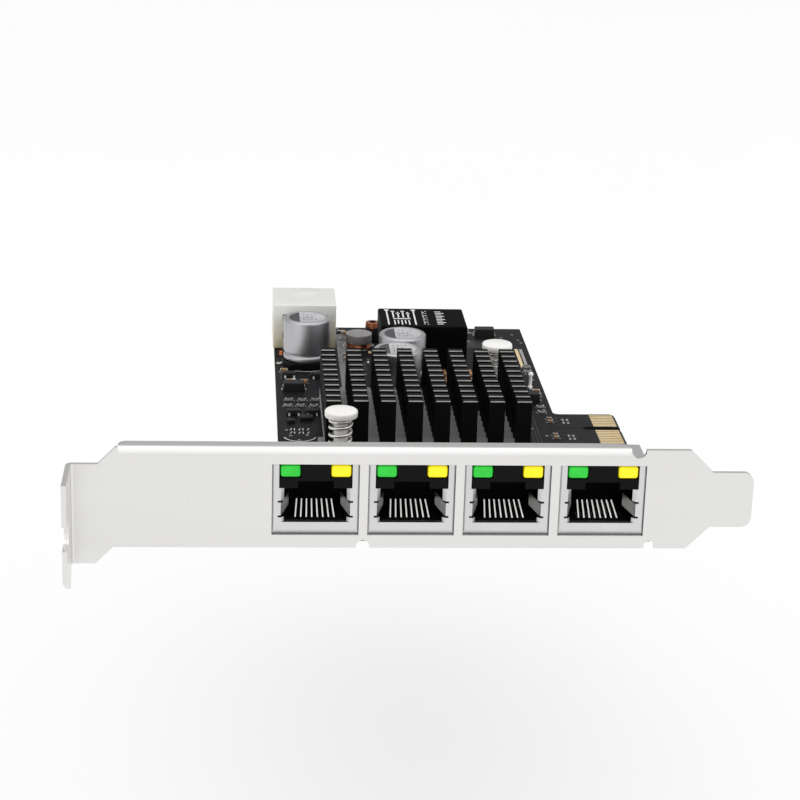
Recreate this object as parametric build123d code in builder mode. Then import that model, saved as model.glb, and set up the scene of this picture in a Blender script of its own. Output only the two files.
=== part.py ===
from build123d import *
from math import cos, pi, sin
import os

os.makedirs("parts", exist_ok=True)

# The origin is the centre of the bracket's screw notch, on the face of the tab that seats on the chassis.
# +X runs along the bracket to its tongue, +Y along the board into the computer, +Z to the component side.

# Bracket: one folded strip of plated steel
sheet = 0.86
bracket_length = 120.02
bracket_width = 18.42
notch_to_face = 8.07
notch_to_edge = 5.6
notch_width = 4.42
tab_reach = 10.57
tab_height = 21.59
tab_corner_rise = 3.85
tab_corner_run = 6.77
jog = 3.08
jog_low_start = 4.9
jog_high_start = 5.44
bend_leg = 1.3
bend_inner = 0.44
tongue_length = 7.27
tongue_width = 10.19
tongue_round = 1.8
flange_from_tab = 8.9
flange_length = 89.25
flange_depth = 3.5
flange_bend = 0.64
flange_round = 1.6
relief_radius = 1.28
edge_notch_radius = 1.2
edge_notch_depth = 1.4
foot_notch_radius = 0.9

# Screw tab under the board, and its two screws
screw_tab_width = 17.1
screw_tab_reach = 7.4
screw_spacing = 10.4
screw_from_face = 4.3
screw_radius = 1.25
screw_hole_radius = 1.35
screw_head_radius = 2.25
screw_head_height = 0.6

# Board
board_above_edge = 2.3
board_thickness = 1.57
board_left = 37.3
board_height = 68.9
board_length = 125.2
fingers_reach = 12.6
fingers_start = 44.5
fingers_end = 65.75
fingers_corner = 1.0
fingers_bevel = 0.45
key_centre = 57.15
key_width = 1.9
key_depth = 7.7
shoulder_margin = 1.1
shoulder_depth = 18.2
board_inner_round = 1.2

# Gold contacts on the board's tongue
finger_pitch = 1.0
finger_width = 0.7
finger_length = 4.7
finger_thickness = 0.05
finger_setback = 0.7
finger_key_step = 1.5
fingers_before_key = 11
fingers_after_key = 7

# Network ports
port_count = 4
port_gap = 0.75
first_port = 43.05
window_inset = 0.4
window_height = 13.15
window_slip = 0.05
jack_width = 16.0
jack_height = 13.35
jack_front_depth = 10.7
jack_depth = 15.6
jack_rear_drop = 2.3
shell_wall = 0.3
shell_face = 0.35
shell_setback = 0.1
shell_bevel = 0.95
shell_side_bevel = 0.3
shell_leg_width = 1.6
shell_leg_from_face = 9.3
shell_leg_length = 2.7
plug_width = 11.8
plug_height = 6.3
plug_floor = 2.45
plug_depth = 12.6
latch_width = 6.2
latch_height = 1.3
latch_depth = 9.4
led_gap = 5.2
led_width = 3.6
led_height = 2.3
led_depth = 8.6
brow_margin = 0.15
side_lip = 0.6
fit_gap = 0.05
jack_clearance = 0.15
spring_reach = 1.3
spring_length = 5.6
spring_return = 1.4
spring_height = 2.4
spring_from_floor = 1.2
spring_thickness = 0.2
spring_cut = 0.35
spring_cut_depth = 0.65
contact_count = 8
contact_pitch = 1.02
contact_width = 0.38
contact_thickness = 0.3
contact_channel_width = 8.4
contact_lip = 2.6
contact_tip_y = 8.0
contact_tip_rise = 2.1
contact_foot = 1.3

# Heat sink over the controller
sink_from_left = 28.3
sink_y = 53.0
sink_base = 2.2
fin_columns = 8
fin_rows = 11
fin_width = 2.95
fin_depth = 1.6
fin_pitch_x = 5.18
fin_pitch_y = 3.17
fin_height = 8.5
chip_size = 25.0
chip_height = 1.5
pad_size = 24.0
pad_height = 0.4
ear_width = 8.0
pin_offset_x = 16.9
pin_offset_y = 21.4

# Push pins and their springs
pin_head_radius = 3.35
pin_head_height = 1.25
pin_head_rise = 12.4
pin_shaft_radius = 1.3
pin_hole_radius = 1.6
pin_barb_radius = 1.95
pin_tip_radius = 1.0
pin_tip_length = 3.0
pin_play = 0.1
coil_radius = 2.05
coil_wire = 0.5
coil_turns = 4.75
coil_steps = 12

# Electrolytic capacitors
can_radius = 4.95
can_height = 9.1
can_round = 0.55
can_base_size = 10.3
can_base_height = 1.4
can_base_chamfer = 1.6
can_lead_width = 0.9
can_lead_length = 1.2
can_lead_thickness = 0.2
can_places = [(6.8, 98.2), (24.8, 76.3), (26.6, 87.0)]

# Power header: six circuits in two rows, mouth to the rear
header_overhang = 0.3
header_y = 108.9
header_width = 13.8
header_depth = 13.8
header_height = 10.0
circuit_pitch = 4.2
circuit_hole = 3.65
circuit_depth = 11.6
circuit_key = 0.9
blade = 1.05
blade_exit_low = 1.7
blade_exit_high = 3.9
blade_tail = 1.2
blade_setback = 2.0
latch_ledge_width = 5.0
latch_ledge_length = 3.0
latch_ledge_rise = 0.6

# Power module and the chokes beside it
module_share = 0.564
module_y = 100.3
module_width = 18.5
module_depth = 13.8
module_height = 9.7
module_standoff = 0.3
module_pin = 0.64
module_pin_spread_x = 15.2
module_pin_spread_y = 10.2
module_pin_tail = 1.3
drum_from_left = 18.7
drum_y = 111.2
drum_radius = 2.9
drum_waist = 1.5
drum_flange = 0.7
drum_height = 3.0
choke_from_left = 22.0
choke_y = 115.9
choke_radius = 1.55
choke_waist = 1.25
choke_base = 3.2
choke_height = 4.2

# Line transformers between the ports and the heat sink
transformer_pitch = 13.9
transformer_from_left = 28.15
transformer_y = 22.6
transformer_width = 12.6
transformer_depth = 6.8
transformer_height = 4.6

# Small parts, as (distance in from the board's nearer side edge, distance from the bracket's face)
crystal_place = (32.7, 32.2)
crystal_size = (5.0, 3.2, 1.1)
memory_place = (23.2, 32.0)
memory_size = (4.9, 3.9, 1.5)
transistor_size = (2.9, 1.6, 1.1)
transistor_places = [(3.4, 64.6), (7.1, 64.7), (3.0, 88.9), (9.0, 88.4)]
diode_size = (4.3, 2.6, 1.85)
diode_places = [(3.7, 80.2), (-4.0, 74.2), (-8.7, 119.8)]
resistor_size = (1.6, 0.8, 0.5)
resistor_places = [
    (2.6, 73.4), (5.3, 73.2), (8.0, 73.4), (2.3, 69.6), (4.9, 69.6), (7.6, 69.4),
    (-2.3, 66.6), (-2.2, 69.9), (-2.0, 93.4), (-1.9, 96.4), (-6.7, 111.6), (-6.7, 114.2),
    (15.4, 115.6), (-12.8, 122.4), (-9.8, 122.6), (19.3, 33.5),
]
capacitor_size = (1.6, 0.85, 0.8)
capacitor_places = [
    (2.9, 84.9), (6.0, 84.7), (1.9, 92.2), (-2.0, 76.9), (-1.9, 79.3), (-7.2, 108.4),
    (-7.1, 105.4), (16.1, 119.6), (18.9, 119.9), (-4.9, 101.0), (-4.9, 104.0), (42.2, 33.0),
]
# Capacitors to the right of the power module, and others between it and the first electrolytic capacitor
module_capacitor_gap = 3.9
module_capacitor_ys = (94.0, 97.0)
between_share = 0.365
between_ys = (100.6, 103.4)
coupling_size = (1.0, 0.55, 0.5)
coupling_places = [(-1.3, 62.4), (-1.3, 60.6), (-1.3, 52.8), (-1.3, 51.0)]
test_pin_place = (-2.6, 83.4)
test_pin_radius = 0.32
test_pin_height = 2.2
test_pin_head = 1.1

# Places worked out from the sizes above
tab_x = -sheet
face_y = notch_to_face
edge_z = -notch_to_edge
top_z = edge_z + bracket_width
back_y = face_y + sheet
bend_middle = bend_inner + sheet / 2
board_top = edge_z + board_above_edge
board_bottom = board_top - board_thickness
port_pitch = jack_width + port_gap
window_width = jack_width - 2 * window_inset
port_xs = [tab_x + first_port + i * port_pitch for i in range(port_count)]
window_z = board_top + window_slip + window_height / 2
body_edge = board_left + board_height - fingers_reach
tip_edge = board_left + board_height
sink_x = board_left + sink_from_left
pin_places = [(sink_x - pin_offset_x, sink_y - pin_offset_y), (sink_x + pin_offset_x, sink_y + pin_offset_y)]
screw_xs = [port_xs[2] - screw_spacing / 2, port_xs[2] + screw_spacing / 2]
sink_bottom = board_top + chip_height + pad_height
sink_top = sink_bottom + sink_base
header_mid = board_left - header_overhang + header_width / 2
module_x = board_left + module_share * (body_edge - board_left)
drum_x = board_left + drum_from_left
choke_x = board_left + choke_from_left
transformer_x = board_left + transformer_from_left


def at(x, y):
    return (tab_x + x, face_y + y)


def from_side(place):
    inward, y = place
    if inward < 0:
        return at(body_edge + inward, y)
    return at(board_left + inward, y)


def write(piece, label):
    piece.part.label = label
    export_step(piece.part, f"parts/{label}.step")


def block(x, y, z, width, depth, height, mode=Mode.ADD):
    with Locations((x, y, z)):
        return Box(width, depth, height, align=(Align.CENTER, Align.CENTER, Align.MIN), mode=mode)


def make_bracket():
    plate_start = tab_x + bend_leg
    tab_foot = edge_z - jog
    tab_head = top_z - jog
    tongue_end = tab_x + bracket_length
    tongue_start = tongue_end - tongue_length
    tongue_low = edge_z + (bracket_width - tongue_width) / 2
    tongue_high = tongue_low + tongue_width
    taper_start = tongue_start - (tongue_low - edge_z)
    flange_start = tab_x + flange_from_tab
    flange_end = flange_start + flange_length
    flange_root = top_z - sheet - flange_bend - fit_gap
    middle_y = face_y + sheet / 2
    with BuildPart() as bracket:
        # Front plate as seen from outside the computer
        with BuildSketch(Plane.XZ.offset(-face_y)):
            with BuildLine():
                Polyline(
                    (plate_start, tab_foot),
                    (tab_x + jog_low_start, tab_foot),
                    (tab_x + jog_low_start + jog, edge_z),
                    (taper_start, edge_z),
                    (tongue_start, tongue_low),
                    (tongue_end, tongue_low),
                    (tongue_end, tongue_high),
                    (tongue_start, tongue_high),
                    (taper_start, top_z),
                    (flange_end, top_z),
                    (flange_end, flange_root),
                    (flange_start, flange_root),
                    (flange_start, top_z),
                    (tab_x + jog_high_start + jog, top_z),
                    (tab_x + jog_high_start, tab_head),
                    (plate_start, tab_head),
                    close=True,
                )
            make_face()
            fillet(vertices().sort_by(Axis.X)[-2:], radius=tongue_round)
            # One window for each port
            with Locations(*[(x, window_z) for x in port_xs]):
                Rectangle(window_width, window_height, mode=Mode.SUBTRACT)
            # Relief beside the flange's end
            with Locations((flange_end + relief_radius, flange_root + relief_radius)):
                Circle(relief_radius, mode=Mode.SUBTRACT)
                Rectangle(2 * relief_radius, 2 * relief_radius, align=(Align.CENTER, Align.MIN),
                          mode=Mode.SUBTRACT)
            # Round notches in the lower edge
            first_gap = (port_xs[0] + port_xs[1]) / 2
            with Locations((first_gap, edge_z + edge_notch_depth - edge_notch_radius)):
                Circle(edge_notch_radius, mode=Mode.SUBTRACT)
            last_notch = port_xs[-1] + window_width / 2 + edge_notch_radius
            with Locations((last_notch, edge_z + edge_notch_depth - foot_notch_radius)):
                Circle(foot_notch_radius, mode=Mode.SUBTRACT)
                Rectangle(2 * foot_notch_radius, edge_notch_depth, align=(Align.CENTER, Align.MAX),
                          mode=Mode.SUBTRACT)
        extrude(amount=-sheet)
        # Stiffening flange folded back along the upper edge
        with BuildSketch(Plane.YZ.offset(flange_start)):
            with BuildLine():
                FilletPolyline(
                    (middle_y, flange_root),
                    (middle_y, top_z - sheet / 2),
                    (face_y + flange_depth, top_z - sheet / 2),
                    radius=flange_bend + sheet / 2,
                )
            trace(line_width=sheet)
        extrude(amount=flange_length)
        fillet(bracket.edges().filter_by(Axis.Z).group_by(Axis.Y)[-1], radius=flange_round)
        # Mounting tab bent forward, wider than the plate at its foot, with a notch for the chassis screw
        with BuildSketch(Plane.XY.offset(tab_foot)):
            with BuildLine():
                FilletPolyline(
                    (tab_x + sheet / 2, face_y - bend_leg),
                    (tab_x + sheet / 2, middle_y),
                    (plate_start, middle_y),
                    radius=bend_middle,
                )
            trace(line_width=sheet)
        extrude(amount=bracket_width)
        tab_front = face_y - tab_reach
        tab_low = tab_head - tab_height
        with BuildSketch(Plane.YZ.offset(tab_x)):
            with BuildLine():
                Polyline(
                    (face_y - bend_leg, tab_head),
                    (tab_front, tab_head),
                    (tab_front, tab_low + tab_corner_rise),
                    (tab_front + tab_corner_run, tab_low),
                    (face_y - bend_leg, tab_foot),
                    close=True,
                )
            make_face()
            Circle(notch_width / 2, mode=Mode.SUBTRACT)
            Rectangle(notch_to_face, notch_width, align=(Align.MAX, Align.CENTER), mode=Mode.SUBTRACT)
        extrude(amount=sheet)
        # Screw tab folded back under the board
        with BuildSketch(Plane.YZ.offset(port_xs[2] - screw_tab_width / 2)):
            with BuildLine():
                FilletPolyline(
                    (middle_y, board_top - fit_gap),
                    (middle_y, board_bottom - sheet / 2),
                    (face_y + screw_tab_reach, board_bottom - sheet / 2),
                    radius=bend_middle,
                )
            trace(line_width=sheet)
        extrude(amount=screw_tab_width)
        fillet(bracket.edges().filter_by(Axis.Z).group_by(Axis.Y)[-1], radius=flange_round)
        with BuildSketch(Plane.XY.offset(board_bottom - sheet)):
            with Locations(*[(x, face_y + screw_from_face) for x in screw_xs]):
                Circle(screw_hole_radius)
        extrude(amount=sheet, mode=Mode.SUBTRACT)
    return bracket


def make_screws():
    head_low = board_bottom - sheet - screw_head_height
    with BuildPart() as screws:
        with Locations(*[(x, face_y + screw_from_face, head_low) for x in screw_xs]):
            Cylinder(screw_head_radius, screw_head_height, align=(Align.CENTER, Align.CENTER, Align.MIN))
        # Shank through the tab and the board
        with Locations(*[(x, face_y + screw_from_face, board_bottom - sheet) for x in screw_xs]):
            Cylinder(screw_radius, sheet + board_thickness - fit_gap,
                     align=(Align.CENTER, Align.CENTER, Align.MIN))
    return screws


def make_board():
    left = tab_x + board_left
    right = tab_x + body_edge
    tip = tab_x + tip_edge
    shoulder_left = port_xs[0] - jack_width / 2 - shoulder_margin
    shoulder_right = port_xs[-1] + jack_width / 2 + shoulder_margin
    shoulder_y = face_y + shoulder_depth
    front = back_y + bend_inner + fit_gap
    rear = face_y + board_length
    with BuildPart() as board:
        with BuildSketch(Plane.XY.offset(board_bottom)):
            with BuildLine():
                Polyline(
                    (shoulder_left, front),
                    (shoulder_right, front),
                    (shoulder_right, shoulder_y),
                    (right, shoulder_y),
                    (right, face_y + fingers_start),
                    (tip, face_y + fingers_start),
                    (tip, face_y + fingers_end),
                    (right, face_y + fingers_end),
                    (right, rear),
                    (left, rear),
                    (left, shoulder_y),
                    (shoulder_left, shoulder_y),
                    close=True,
                )
            make_face()
            # Outward and back again, which rounds the inner corners and keeps the outer ones sharp
            offset(amount=board_inner_round, kind=Kind.INTERSECTION)
            offset(amount=-board_inner_round, kind=Kind.ARC)
            chamfer(vertices().sort_by(Axis.X)[-2:], length=fingers_corner)
            # Key slot that only the right socket lets in
            with Locations((tip - key_depth + key_width / 2, face_y + key_centre)):
                Circle(key_width / 2, mode=Mode.SUBTRACT)
                Rectangle(key_depth, key_width, align=(Align.MIN, Align.CENTER), mode=Mode.SUBTRACT)
            # Holes for push pins, bracket screws, header blades and module pins
            with Locations(*[at(*place) for place in pin_places]):
                Circle(pin_hole_radius, mode=Mode.SUBTRACT)
            with Locations(*[(x, face_y + screw_from_face) for x in screw_xs]):
                Circle(screw_hole_radius, mode=Mode.SUBTRACT)
            with Locations(*blade_holes()):
                Rectangle(blade + 2 * fit_gap, blade + 2 * fit_gap, mode=Mode.SUBTRACT)
            with Locations(*module_pin_places()):
                Rectangle(module_pin + 2 * fit_gap, module_pin + 2 * fit_gap, mode=Mode.SUBTRACT)
            # Slots for the shell legs
            with Locations(*shell_leg_places()):
                Rectangle(shell_wall + 2 * jack_clearance, shell_leg_width + 2 * jack_clearance,
                          mode=Mode.SUBTRACT)
        extrude(amount=board_thickness)
        # Bevel that leads the tongue into its socket
        leading = board.faces().sort_by(Axis.X)[-2:]
        chamfer(leading.edges().filter_by(Axis.Y), length=fingers_bevel)
    return board


def shell_leg_places():
    offset = jack_width / 2 - shell_wall / 2
    return [(x + side * offset, face_y + shell_leg_from_face) for x in port_xs for side in (-1, 1)]


def blade_columns():
    return [tab_x + header_mid + (i - 1) * circuit_pitch for i in range(3)]


def blade_holes():
    front = face_y + header_y
    return [(x, front - reach) for x in blade_columns() for reach in (blade_exit_low, blade_exit_high)]


def make_edge_contacts():
    before = [face_y + key_centre - finger_key_step - i * finger_pitch for i in range(fingers_before_key)]
    after = [face_y + key_centre + finger_key_step + i * finger_pitch for i in range(fingers_after_key)]
    x = tab_x + tip_edge - finger_setback - finger_length / 2
    with BuildPart() as contacts:
        for z in (board_top, board_bottom - finger_thickness):
            with BuildSketch(Plane.XY.offset(z)):
                with Locations(*[(x, y) for y in before + after]):
                    Rectangle(finger_length, finger_width)
            extrude(amount=finger_thickness)
    return contacts


def make_shell(x):
    nose_y = face_y + shell_setback
    shoulder_y = back_y + shell_setback
    rear_y = face_y + jack_front_depth
    nose_width = window_width - 2 * window_slip
    nose_low = board_top + 2 * window_slip
    nose_high = window_z + window_height / 2 - window_slip
    floor_z = board_top + plug_floor
    plug_top = floor_z + plug_height
    mouth_width = plug_width + 2 * jack_clearance
    lamp_width = led_gap + 2 * led_width + 2 * jack_clearance
    with BuildPart() as shell:
        # Body behind the bracket and a nose that fills its window
        with BuildSketch(Plane.XZ.offset(-shoulder_y)):
            with Locations((x, board_top)):
                Rectangle(jack_width, jack_height, align=(Align.CENTER, Align.MIN))
        extrude(amount=-(rear_y - shoulder_y))
        with BuildSketch(Plane.XZ.offset(-nose_y)):
            with Locations((x, nose_low)):
                Rectangle(nose_width, nose_high - nose_low, align=(Align.CENTER, Align.MIN))
        extrude(amount=-(shoulder_y - nose_y))
        rim = shell.faces().sort_by(Axis.Y)[0].edges().sort_by(Axis.Z)
        chamfer(rim[1:3], length=shell_side_bevel)
        rim = shell.faces().sort_by(Axis.Y)[0].edges().sort_by(Axis.Z)
        chamfer(rim[0], length=shell_bevel - shell_wall, length2=shell_bevel)
        # Hollow for the housing, open below and behind
        with BuildSketch(Plane.XZ.offset(-(shoulder_y + shell_wall))):
            with Locations((x, board_top)):
                Rectangle(jack_width - 2 * shell_wall, jack_height - shell_wall,
                          align=(Align.CENTER, Align.MIN))
        extrude(amount=-(rear_y - shoulder_y - shell_wall), mode=Mode.SUBTRACT)
        with BuildSketch(Plane.XZ.offset(-(nose_y + shell_wall))):
            with Locations((x, floor_z)):
                Rectangle(nose_hollow_width(), nose_high - shell_wall - floor_z,
                          align=(Align.CENTER, Align.MIN))
        extrude(amount=-(shoulder_y - nose_y), mode=Mode.SUBTRACT)
        # Mouth for the plug with the lamps above it, and cuts that free the side springs
        with BuildSketch(Plane.XZ.offset(-nose_y)):
            with Locations((x, floor_z)):
                Rectangle(mouth_width, plug_height, align=(Align.CENTER, Align.MIN))
            with Locations((x, plug_top)):
                Rectangle(lamp_width, nose_high - plug_top, align=(Align.CENTER, Align.MIN))
            low_cut = floor_z + spring_from_floor - spring_cut / 2
            high_cut = floor_z + spring_from_floor + spring_height + spring_cut / 2
            with Locations((x, low_cut), (x, high_cut)):
                Rectangle(plug_width + 2 * spring_cut_depth, spring_cut)
        extrude(amount=-(shoulder_y + shell_wall - nose_y), mode=Mode.SUBTRACT)
        for side in (-1, 1):
            edge = x + side * mouth_width / 2
            # Side spring that grounds the plug
            with BuildSketch(Plane.XY.offset(floor_z + spring_from_floor)):
                with BuildLine():
                    Polyline(
                        (edge, nose_y),
                        (edge, nose_y + shell_wall),
                        (edge - side * spring_reach, nose_y + spring_length),
                        (edge - side * spring_reach / 2, nose_y + spring_length + spring_return),
                        (edge - side * (spring_reach / 2 + spring_thickness), nose_y + spring_length + spring_return),
                        (edge - side * (spring_reach + spring_thickness), nose_y + spring_length),
                        (edge - side * spring_thickness, nose_y + shell_wall),
                        close=True,
                    )
                make_face()
            extrude(amount=spring_height)
            # Lips folded in above and below it
            high_lip = floor_z + spring_from_floor + spring_height + spring_cut
            for low, high in ((floor_z, floor_z + spring_from_floor - spring_cut), (high_lip, plug_top)):
                with BuildSketch(Plane.XY.offset(low)):
                    with BuildLine():
                        Polyline(
                            (edge, nose_y),
                            (edge, nose_y + shell_wall),
                            (edge - side * side_lip, nose_y + shell_wall + side_lip),
                            (edge - side * side_lip, nose_y + side_lip),
                            close=True,
                        )
                    make_face()
                extrude(amount=high - low)
        # Legs soldered into the board
        for side in (-1, 1):
            leg_x = x + side * (jack_width / 2 - shell_wall / 2)
            block(leg_x, face_y + shell_leg_from_face, board_top - shell_leg_length, shell_wall, shell_leg_width,
                  shell_leg_length)
    return shell


def nose_hollow_width():
    return window_width - 2 * window_slip - 2 * shell_side_bevel - 2 * shell_wall


def lamp_floor():
    return board_top + jack_height - shell_wall - fit_gap - led_height


def make_housing(x):
    front_y = face_y + shell_setback + fit_gap
    nose_y = face_y + shell_setback + shell_wall + fit_gap
    body_y = back_y + shell_setback + shell_wall + fit_gap
    front_rear = face_y + jack_front_depth
    rear_y = face_y + jack_depth
    inner_width = jack_width - 2 * shell_wall - 2 * fit_gap
    inner_height = jack_height - shell_wall - fit_gap
    nose_high = window_z + window_height / 2 - window_slip - fit_gap
    floor_z = board_top + plug_floor
    plug_top = floor_z + plug_height
    cavity_width = plug_width + 2 * jack_clearance
    brow_width = cavity_width + 2 * brow_margin
    with BuildPart() as housing:
        with BuildSketch(Plane.XZ.offset(-body_y)):
            with Locations((x, board_top)):
                Rectangle(inner_width, inner_height, align=(Align.CENTER, Align.MIN))
        extrude(amount=-(front_rear - body_y))
        with BuildSketch(Plane.XZ.offset(-front_rear)):
            with Locations((x, board_top)):
                Rectangle(inner_width, jack_height - jack_rear_drop, align=(Align.CENTER, Align.MIN))
        extrude(amount=-(rear_y - front_rear))
        with BuildSketch(Plane.XZ.offset(-nose_y)):
            with Locations((x, floor_z + fit_gap)):
                Rectangle(nose_hollow_width() - 2 * fit_gap, nose_high - shell_wall - floor_z - fit_gap,
                          align=(Align.CENTER, Align.MIN))
        extrude(amount=-(body_y - nose_y))
        # Brow over the plug and the block between the lamps, level with the shell's face
        with BuildSketch(Plane.XZ.offset(-front_y)):
            with Locations((x, plug_top)):
                Rectangle(brow_width, lamp_floor() - plug_top - fit_gap, align=(Align.CENTER, Align.MIN))
                Rectangle(led_gap - 2 * fit_gap, nose_high - plug_top, align=(Align.CENTER, Align.MIN))
        extrude(amount=-(nose_y - front_y))
        # Plug cavity, and the slot for its latch
        with BuildSketch(Plane.XZ.offset(-nose_y)):
            with Locations((x, floor_z)):
                Rectangle(cavity_width, plug_height, align=(Align.CENTER, Align.MIN))
        extrude(amount=-plug_depth, mode=Mode.SUBTRACT)
        with BuildSketch(Plane.XZ.offset(-front_y)):
            with Locations((x, plug_top)):
                Rectangle(latch_width, latch_height, align=(Align.CENTER, Align.MIN))
        extrude(amount=-(latch_depth + nose_y - front_y), mode=Mode.SUBTRACT)
        # Pockets for the two lamps
        with BuildSketch(Plane.XZ.offset(-nose_y)):
            for side in (-1, 1):
                with Locations((x + side * (led_gap / 2 + led_width / 2), lamp_floor())):
                    Rectangle(led_width, led_height, align=(Align.CENTER, Align.MIN))
        extrude(amount=-led_depth, mode=Mode.SUBTRACT)
        # Channel where the contacts lie, and their way out at the back
        with BuildSketch(Plane.YZ.offset(x - contact_channel_width / 2)):
            with BuildLine():
                Polyline(
                    (face_y + contact_lip, floor_z),
                    (face_y + contact_lip, board_top + contact_foot - contact_thickness / 2 - fit_gap),
                    (rear_y, board_top + contact_foot - contact_thickness / 2 - fit_gap),
                    (rear_y, board_top + contact_foot + contact_thickness / 2 + fit_gap),
                    (nose_y + plug_depth, board_top + contact_foot + contact_thickness / 2 + fit_gap),
                    (nose_y + plug_depth, floor_z),
                    close=True,
                )
            make_face()
        extrude(amount=contact_channel_width, mode=Mode.SUBTRACT)
    return housing


def make_contacts(x):
    rear_y = face_y + jack_depth
    run_low = board_top + contact_foot - contact_thickness / 2
    run_high = run_low + contact_thickness
    lip_y = face_y + contact_lip + contact_thickness
    fold_z = board_top + plug_floor + fit_gap
    tip_y = face_y + contact_tip_y
    tip_z = fold_z + contact_tip_rise
    with BuildPart() as contacts:
        # Each wire runs forward under the plug, folds over at the lip and rises toward the rear
        for i in range(contact_count):
            centre = x + (i - (contact_count - 1) / 2) * contact_pitch
            with BuildSketch(Plane.YZ.offset(centre - contact_width / 2)):
                with BuildLine():
                    Polyline(
                        (rear_y + contact_foot, board_top),
                        (rear_y + contact_foot, run_high),
                        (lip_y + contact_thickness, run_high),
                        (tip_y, tip_z - contact_thickness),
                        (tip_y, tip_z),
                        (lip_y, fold_z),
                        (lip_y, run_low),
                        (rear_y + contact_foot - contact_thickness, run_low),
                        (rear_y + contact_foot - contact_thickness, board_top),
                        close=True,
                    )
                make_face()
            extrude(amount=contact_width)
    return contacts


def make_led(x, side):
    front = face_y + fit_gap
    length = shell_setback + shell_wall + led_depth - fit_gap
    with BuildPart() as led:
        with BuildSketch(Plane.XZ.offset(-front)):
            with Locations((x + side * (led_gap / 2 + led_width / 2), lamp_floor() + fit_gap)):
                Rectangle(led_width - 2 * fit_gap, led_height - 2 * fit_gap, align=(Align.CENTER, Align.MIN))
        extrude(amount=-length)
    return led


def make_heatsink():
    width = (fin_columns - 1) * fin_pitch_x + fin_width
    depth = (fin_rows - 1) * fin_pitch_y + fin_depth
    centre = at(sink_x, sink_y)
    with BuildPart() as heatsink:
        # Base with an ear at two opposite corners
        with BuildSketch(Plane.XY.offset(sink_bottom)):
            with Locations(centre):
                Rectangle(width, depth)
            for place, side in zip(pin_places, (-1, 1)):
                pin_x, pin_y = at(*place)
                with Locations((pin_x, pin_y)):
                    Circle(ear_width / 2)
                with Locations((pin_x, pin_y - side * ear_width / 2)):
                    Rectangle(ear_width, ear_width)
            with Locations(*[at(*place) for place in pin_places]):
                Circle(pin_hole_radius, mode=Mode.SUBTRACT)
        extrude(amount=sink_base)
        # Pin fins
        with BuildSketch(Plane.XY.offset(sink_top)):
            with Locations(centre):
                with GridLocations(fin_pitch_x, fin_pitch_y, fin_columns, fin_rows):
                    Rectangle(fin_width, fin_depth)
        extrude(amount=fin_height)
    return heatsink


def make_push_pin(place):
    x, y = at(*place)
    head_top = board_top + pin_head_rise
    head_low = head_top - pin_head_height
    barb_z = board_bottom - pin_play
    with BuildPart() as pin:
        with BuildSketch(Plane.XZ.offset(-y)):
            with BuildLine():
                Polyline(
                    (x, head_top),
                    (x + pin_head_radius, head_top),
                    (x + pin_head_radius, head_low),
                    (x + pin_shaft_radius, head_low),
                    (x + pin_shaft_radius, barb_z),
                    (x + pin_barb_radius, barb_z),
                    (x + pin_tip_radius, board_bottom - pin_tip_length),
                    (x, board_bottom - pin_tip_length),
                    close=True,
                )
            make_face()
        revolve(axis=Axis((x, y, 0), (0, 0, 1)))
    return pin


def make_pin_spring(place):
    x, y = at(*place)
    low = sink_top + coil_wire / 2
    high = board_top + pin_head_rise - pin_head_height - coil_wire / 2
    steps = round(coil_turns * coil_steps)
    points = []
    for i in range(steps + 1):
        turn = 2 * pi * i / coil_steps
        z = low + (high - low) * i / steps
        points.append((x + coil_radius * cos(turn), y + coil_radius * sin(turn), z))
    with BuildPart() as spring:
        with BuildLine() as coil:
            Polyline(*points)
        with BuildSketch(Plane(origin=coil.line @ 0, x_dir=(1, 0, 0), z_dir=coil.line % 0)):
            Rectangle(coil_wire, coil_wire)
        sweep(transition=Transition.RIGHT)
    return spring


def make_can(place):
    x, y = from_side(place)
    with BuildPart() as can:
        with Locations((x, y, board_top + can_base_height)):
            Cylinder(can_radius, can_height, align=(Align.CENTER, Align.CENTER, Align.MIN))
        chamfer(can.edges().group_by(Axis.Z)[-1], length=can_round)
    return can


def make_can_base(place):
    x, y = from_side(place)
    with BuildPart() as base:
        block(x, y, board_top, can_base_size, can_base_size, can_base_height)
        chamfer(base.edges().filter_by(Axis.Z).group_by(Axis.Y)[0], length=can_base_chamfer)
    return base


def make_can_leads():
    reach = can_base_size / 2 + can_lead_length / 2
    with BuildPart() as leads:
        for place in can_places:
            x, y = from_side(place)
            with BuildSketch(Plane.XY.offset(board_top)):
                with Locations((x - reach, y), (x + reach, y)):
                    Rectangle(can_lead_length, can_lead_width)
            extrude(amount=can_lead_thickness)
    return leads


def circuit_rows():
    middle = board_top + header_height / 2
    return [middle - circuit_pitch / 2, middle + circuit_pitch / 2]


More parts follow.
